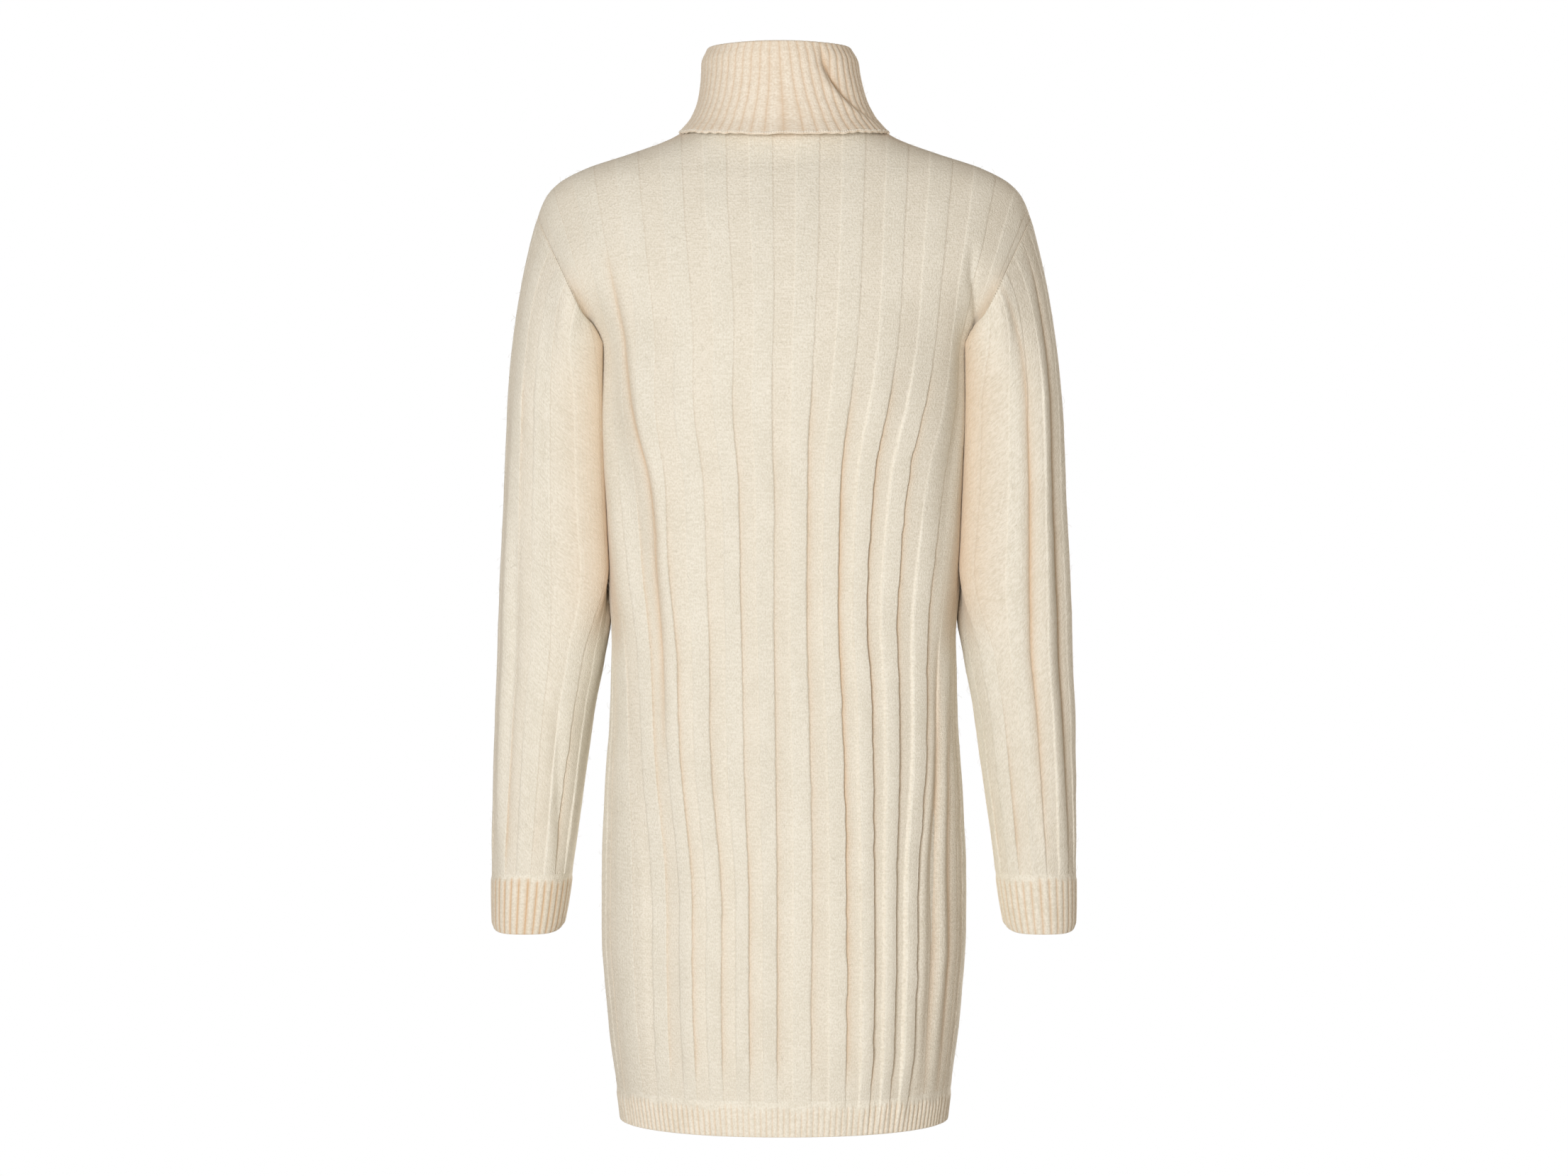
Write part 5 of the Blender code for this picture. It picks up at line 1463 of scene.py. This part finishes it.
def fuzzTree():  # single loose fibres that stand off the surface
    tree, given, out = growTree(
        "looseFibres",
        (("Density", "Float", 9000.0), ("Seed", "Int", 1), ("Length", "Float", 0.0045),
         ("Lift", "Float", 0.0016), ("Thickness", "Float", 0.00006)),
    )
    outside = addNode(tree, "GeometryNodeInputNamedAttribute", {"Name": "outside"}, data_type="FLOAT")
    dense = times(tree, outside.outputs[0], given["Density"])
    values = {"Mesh": given["Geometry"], "Density": dense, "Seed": given["Seed"]}
    spread = addNode(tree, "GeometryNodeDistributePointsOnFaces", values)
    half = times(tree, given["Length"], 0.5)
    middle = addNode(tree, "ShaderNodeCombineXYZ", {0: half, 2: given["Lift"]})
    bent = times(tree, given["Length"], 0.25)
    end = {0: given["Length"], 1: bent, 2: times(tree, bent, 0.9)}
    end = addNode(tree, "ShaderNodeCombineXYZ", end)
    values = {"Resolution": 2, "Middle": middle.outputs[0], "End": end.outputs[0], "Start": (0, 0, 0)}
    strand = addNode(tree, "GeometryNodeCurveQuadraticBezier", values)
    values = {"Resolution": 3, "Radius": given["Thickness"]}
    ring = addNode(tree, "GeometryNodeCurvePrimitiveCircle", values)
    values = {"Curve": strand.outputs[0], "Profile Curve": ring.outputs[0]}
    hair = addNode(tree, "GeometryNodeCurveToMesh", values)
    spin = addNode(tree, "FunctionNodeRandomValue", {"Seed": given["Seed"]}, data_type="FLOAT_VECTOR")
    spin.inputs[0].default_value, spin.inputs[1].default_value = (-0.5, -0.5, 0), (0.5, 0.5, 2 * math.pi)
    about = addNode(tree, "FunctionNodeEulerToRotation", {0: spin.outputs[0]})
    values = {0: spread.outputs["Rotation"], 1: about.outputs[0]}
    turned = addNode(tree, "FunctionNodeRotateRotation", values, rotation_space="LOCAL")
    points, rotation = spread.outputs["Points"], turned.outputs[0]
    return placeCopies(tree, given, out, points, hair.outputs[0], rotation, (0.35, 1.4))


def grown(name, source, tree, material, **values):  # keeps what a tree grows on a mesh, as a plain mesh
    holder = bpy.data.objects.new(name, source)
    bpy.context.scene.collection.objects.link(holder)
    modifier = holder.modifiers.new("grow", "NODES")
    modifier.node_group = tree
    values["Material"] = material
    for item in tree.interface.items_tree:
        if item.in_out == "INPUT" and item.name in values:
            modifier[item.identifier] = values[item.name]
    found = holder.evaluated_get(bpy.context.evaluated_depsgraph_get())
    mesh = bpy.data.meshes.new_from_object(found)
    holder.modifiers.clear()
    holder.data = mesh
    if not mesh.materials:
        mesh.materials.append(material)
    print("grown", name, sum(len(p.vertices) - 2 for p in mesh.polygons), "triangles")
    return holder


def spaced(line, outward, pitch, closed=False):  # places along a line, each with its direction and its normal
    if closed:
        line, outward = np.vstack([line, line[:1]]), np.vstack([outward, outward[:1]])
    run = runAlong(line)
    count = round(run[-1] / pitch)
    at = (np.arange(count) + 0.5) / count * run[-1]

    def read(columns, where):
        return np.stack([np.interp(where, run, column) for column in columns.T], 1)

    return read(line, at), unit(read(line, at + 0.0005) - read(line, at - 0.0005)), unit(read(outward, at))


def pointMesh(name, parts):
    places, along, outward = (np.concatenate(column) for column in zip(*parts))
    mesh = bpy.data.meshes.new(name)
    mesh.from_pydata([tuple(p) for p in places], [], [])
    for label, values in (("along", along), ("outward", outward)):
        layer = mesh.attributes.new(label, "FLOAT_VECTOR", "POINT")
        layer.data.foreach_set("vector", values.astype(np.float32).ravel())
    return mesh


linking = {"pitch": 0.0024, "sunk": 0.00042, "bindPitch": 0.0021}


def seamLines():  # armholes apart from shoulder and side seams
    line, _, _, normal = armholeSeam
    sides, holes = [], []
    ribs = np.linspace(body["neckRibs"] + 0.02, body["ribs"], 90)
    x, z = topEdge("back", ribs)
    shoulder = np.stack([x, 0 * x, z], 1)
    up = unit(np.stack([-np.gradient(z), 0 * x, np.gradient(x)], 1))
    heights = np.linspace(body["underarm"] - 0.002, body["hem"] + 0.0015, 200)
    ends = [[bodyRow(piece, np.array([1.0]), height)[0] for height in heights] for piece in ("back", "front")]
    flank = (np.array(ends[0]) + np.array(ends[1])) / 2
    flankOut = np.array([sideOutward(height) for height in heights])
    for side in (1, -1):
        mirror = np.array([side, 1, 1])
        for points, outward, closed, group in (
            (line, normal, True, holes),
            (shoulder, up, False, sides),
            (flank, flankOut, False, sides),
        ):
            sunk = (points - outward * linking["sunk"]) * mirror
            group.append(spaced(sunk, outward * mirror, linking["pitch"], closed))
    return holes, sides


def edgeLine(piece, columns, row):  # a row of a tube's outer face
    found = piece.data.vertices[row * columns : (row + 1) * columns]
    return np.array([v.co for v in found]), np.array([v.normal for v in found])


made = (  # name, how it is made, node, slot, knit, tone, loose fibres in a square metre
    ("backPanel", lambda n: panel(n, "back"), "back", "back", "wide", "cream", 7000),
    ("frontPanel", lambda n: panel(n, "front"), "front", "front", "front", "cream", 7000),
    ("hemRibBack", lambda n: hemRib(n, "back"), "hem_rib_back", "hem_rib", "hem", "cream", 0),
    ("hemRibFront", lambda n: hemRib(n, "front"), "hem_rib_front", "hem_rib", "hem", "cream", 0),
    ("sleeveRight", lambda n: sleeve(n, 1), "sleeve_right", "sleeve", "wide", "cream", 7000),
    ("sleeveLeft", lambda n: sleeve(n, -1), "sleeve_left", "sleeve", "wide", "cream", 7000),
    ("cuffRight", lambda n: cuff(n, 1), "cuff_right", "cuff", "fine", "cream", 0),
    ("cuffLeft", lambda n: cuff(n, -1), "cuff_left", "cuff", "fine", "cream", 0),
    ("rollCollar", collar, "collar", "collar", "fine", "rosy", 4000),
)
fuzz, chain = fuzzTree(), chainTree()
fibre = threadMaterial("looseFibre", (0.88, 0.84, 0.74))
pieces = {}
for seed, (name, build, node, slot, kind, tone, density) in enumerate(made):
    piece = build(name)
    pieces[name] = piece
    piece.data.materials.append(knitMaterial(name + "Knit", kind, tone, seed * 0.37))
    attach(piece, "root")
    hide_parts(node)
    print("made", name, sum(len(p.vertices) - 2 for p in piece.data.polygons), "triangles")
    if density:
        hairs = grown(name + "Fuzz", piece.data, fuzz, fibre, Density=float(density), Seed=seed)
        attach(hairs, "root")

seamYarn = threadMaterial("seamYarn", (0.88, 0.81, 0.67))
bindYarn = threadMaterial("bindYarn", yarn["rosy"])
holes, sides = seamLines()
bindOff = [spaced(*edgeLine(pieces["rollCollar"], 8 * neck["ribs"], 2), linking["bindPitch"], closed=True)]
for name, parts, slot, thread in (
    ("armholeLoops", holes, "sleeve", seamYarn),
    ("sideLoops", sides, "back", seamYarn),
    ("bindOffLoops", bindOff, "collar", bindYarn),
):
    loops = grown(name, pointMesh(name, parts), chain, thread)
    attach(loops, "root")

studio = {
    "centre": (0.0, 0.0, -0.390),
    "camera": 2.70,
    "lens": 72.05,
    "floor": -1.47,
    "disc": 2.0,
    "radius": 5.0,
    "flat": 3.4,
    "wall": 3.2,
    "bend": 12,  # faces round the bend from floor to wall
    "sides": 96,
    "warmth": (1.0, 0.84, 0.66),
    "around": 0.36,  # light that the room throws back
    "sky": 0.27,
    "lights": (
        ("key", (-1.05, -4.25, -0.40), 1.8, 150, (0.99, 0.99, 1.0)),
        ("fill", (1.7, -2.8, -0.5), 1.6, 5, (1.0, 0.88, 0.74)),
        ("frontKey", (1.9, 3.9, 0.0), 1.8, 165, (1.0, 0.98, 0.95)),
    ),
}


def backdrop():  # a wide bowl, so that every view has the same pale ground
    bend = studio["radius"] - studio["flat"]
    rings = [(studio["disc"], 0.0), (studio["flat"], 0.0)]
    for i in range(studio["bend"]):
        a = math.pi / 2 * (i + 1) / studio["bend"]
        rings.append((studio["flat"] + bend * math.sin(a), bend * (1 - math.cos(a))))
    rings.append((studio["radius"], studio["wall"]))
    turned = bmesh.new()
    sides = studio["sides"]
    turns = [2 * math.pi * i / sides for i in range(sides)]
    loops = []
    for radius, high in rings:
        places = [(radius * math.cos(a), radius * math.sin(a), studio["floor"] + high) for a in turns]
        loops.append([turned.verts.new(place) for place in places])
    turned.faces.new(loops[0])
    for low, high in zip(loops, loops[1:]):
        for i in range(sides):
            j = (i + 1) % sides
            turned.faces.new((low[i], low[j], high[j], high[i]))
    mesh = bpy.data.meshes.new("backdrop")
    turned.to_mesh(mesh)
    turned.free()
    mesh.shade_smooth()
    floor = bpy.data.objects.new("backdrop", mesh)
    bpy.context.scene.collection.objects.link(floor)
    material = bpy.data.materials.new("backdropPaper")
    material.use_nodes = True
    tree = material.node_tree
    tree.nodes.clear()
    light = tree.nodes.new("ShaderNodeLightPath")
    seen, unseen = tree.nodes.new("ShaderNodeEmission"), tree.nodes.new("ShaderNodeEmission")
    unseen.inputs["Color"].default_value = (*studio["warmth"], 1)
    unseen.inputs["Strength"].default_value = studio["around"]
    mix, out = tree.nodes.new("ShaderNodeMixShader"), tree.nodes.new("ShaderNodeOutputMaterial")
    tree.links.new(light.outputs["Is Camera Ray"], mix.inputs[0])
    tree.links.new(unseen.outputs[0], mix.inputs[1])
    tree.links.new(seen.outputs[0], mix.inputs[2])
    tree.links.new(mix.outputs[0], out.inputs["Surface"])
    mesh.materials.append(material)


def areaLight(name, place, size, power, colour):
    lamp = bpy.data.lights.new(name, "AREA")
    lamp.shape = "DISK"
    lamp.size = size
    lamp.energy = power
    lamp.color = colour
    holder = bpy.data.objects.new(name, lamp)
    x, y, z = (place[i] - studio["centre"][i] for i in range(3))
    holder.location = place
    holder.rotation_euler = (math.atan2(math.hypot(x, y), z), 0, math.atan2(x, -y))
    bpy.context.scene.collection.objects.link(holder)


def setStudio():
    backdrop()
    world = bpy.data.worlds.new("studio")
    world.use_nodes = True
    world.node_tree.nodes["Background"].inputs[0].default_value = (*studio["warmth"], 1)
    world.node_tree.nodes["Background"].inputs[1].default_value = studio["sky"]
    scene = bpy.context.scene
    scene.world = world
    scene.view_settings.view_transform = "Standard"
    for light in studio["lights"]:
        areaLight(*light)
    camera = bpy.data.cameras.new("camera")
    camera.sensor_width = 36
    camera.lens = studio["lens"]
    holder = bpy.data.objects.new("camera", camera)
    holder.location = (studio["centre"][0], -studio["camera"], studio["centre"][2])
    holder.rotation_euler = (math.pi / 2, 0, 0)
    scene.collection.objects.link(holder)
    scene.camera = holder


setStudio()
print("studio set")
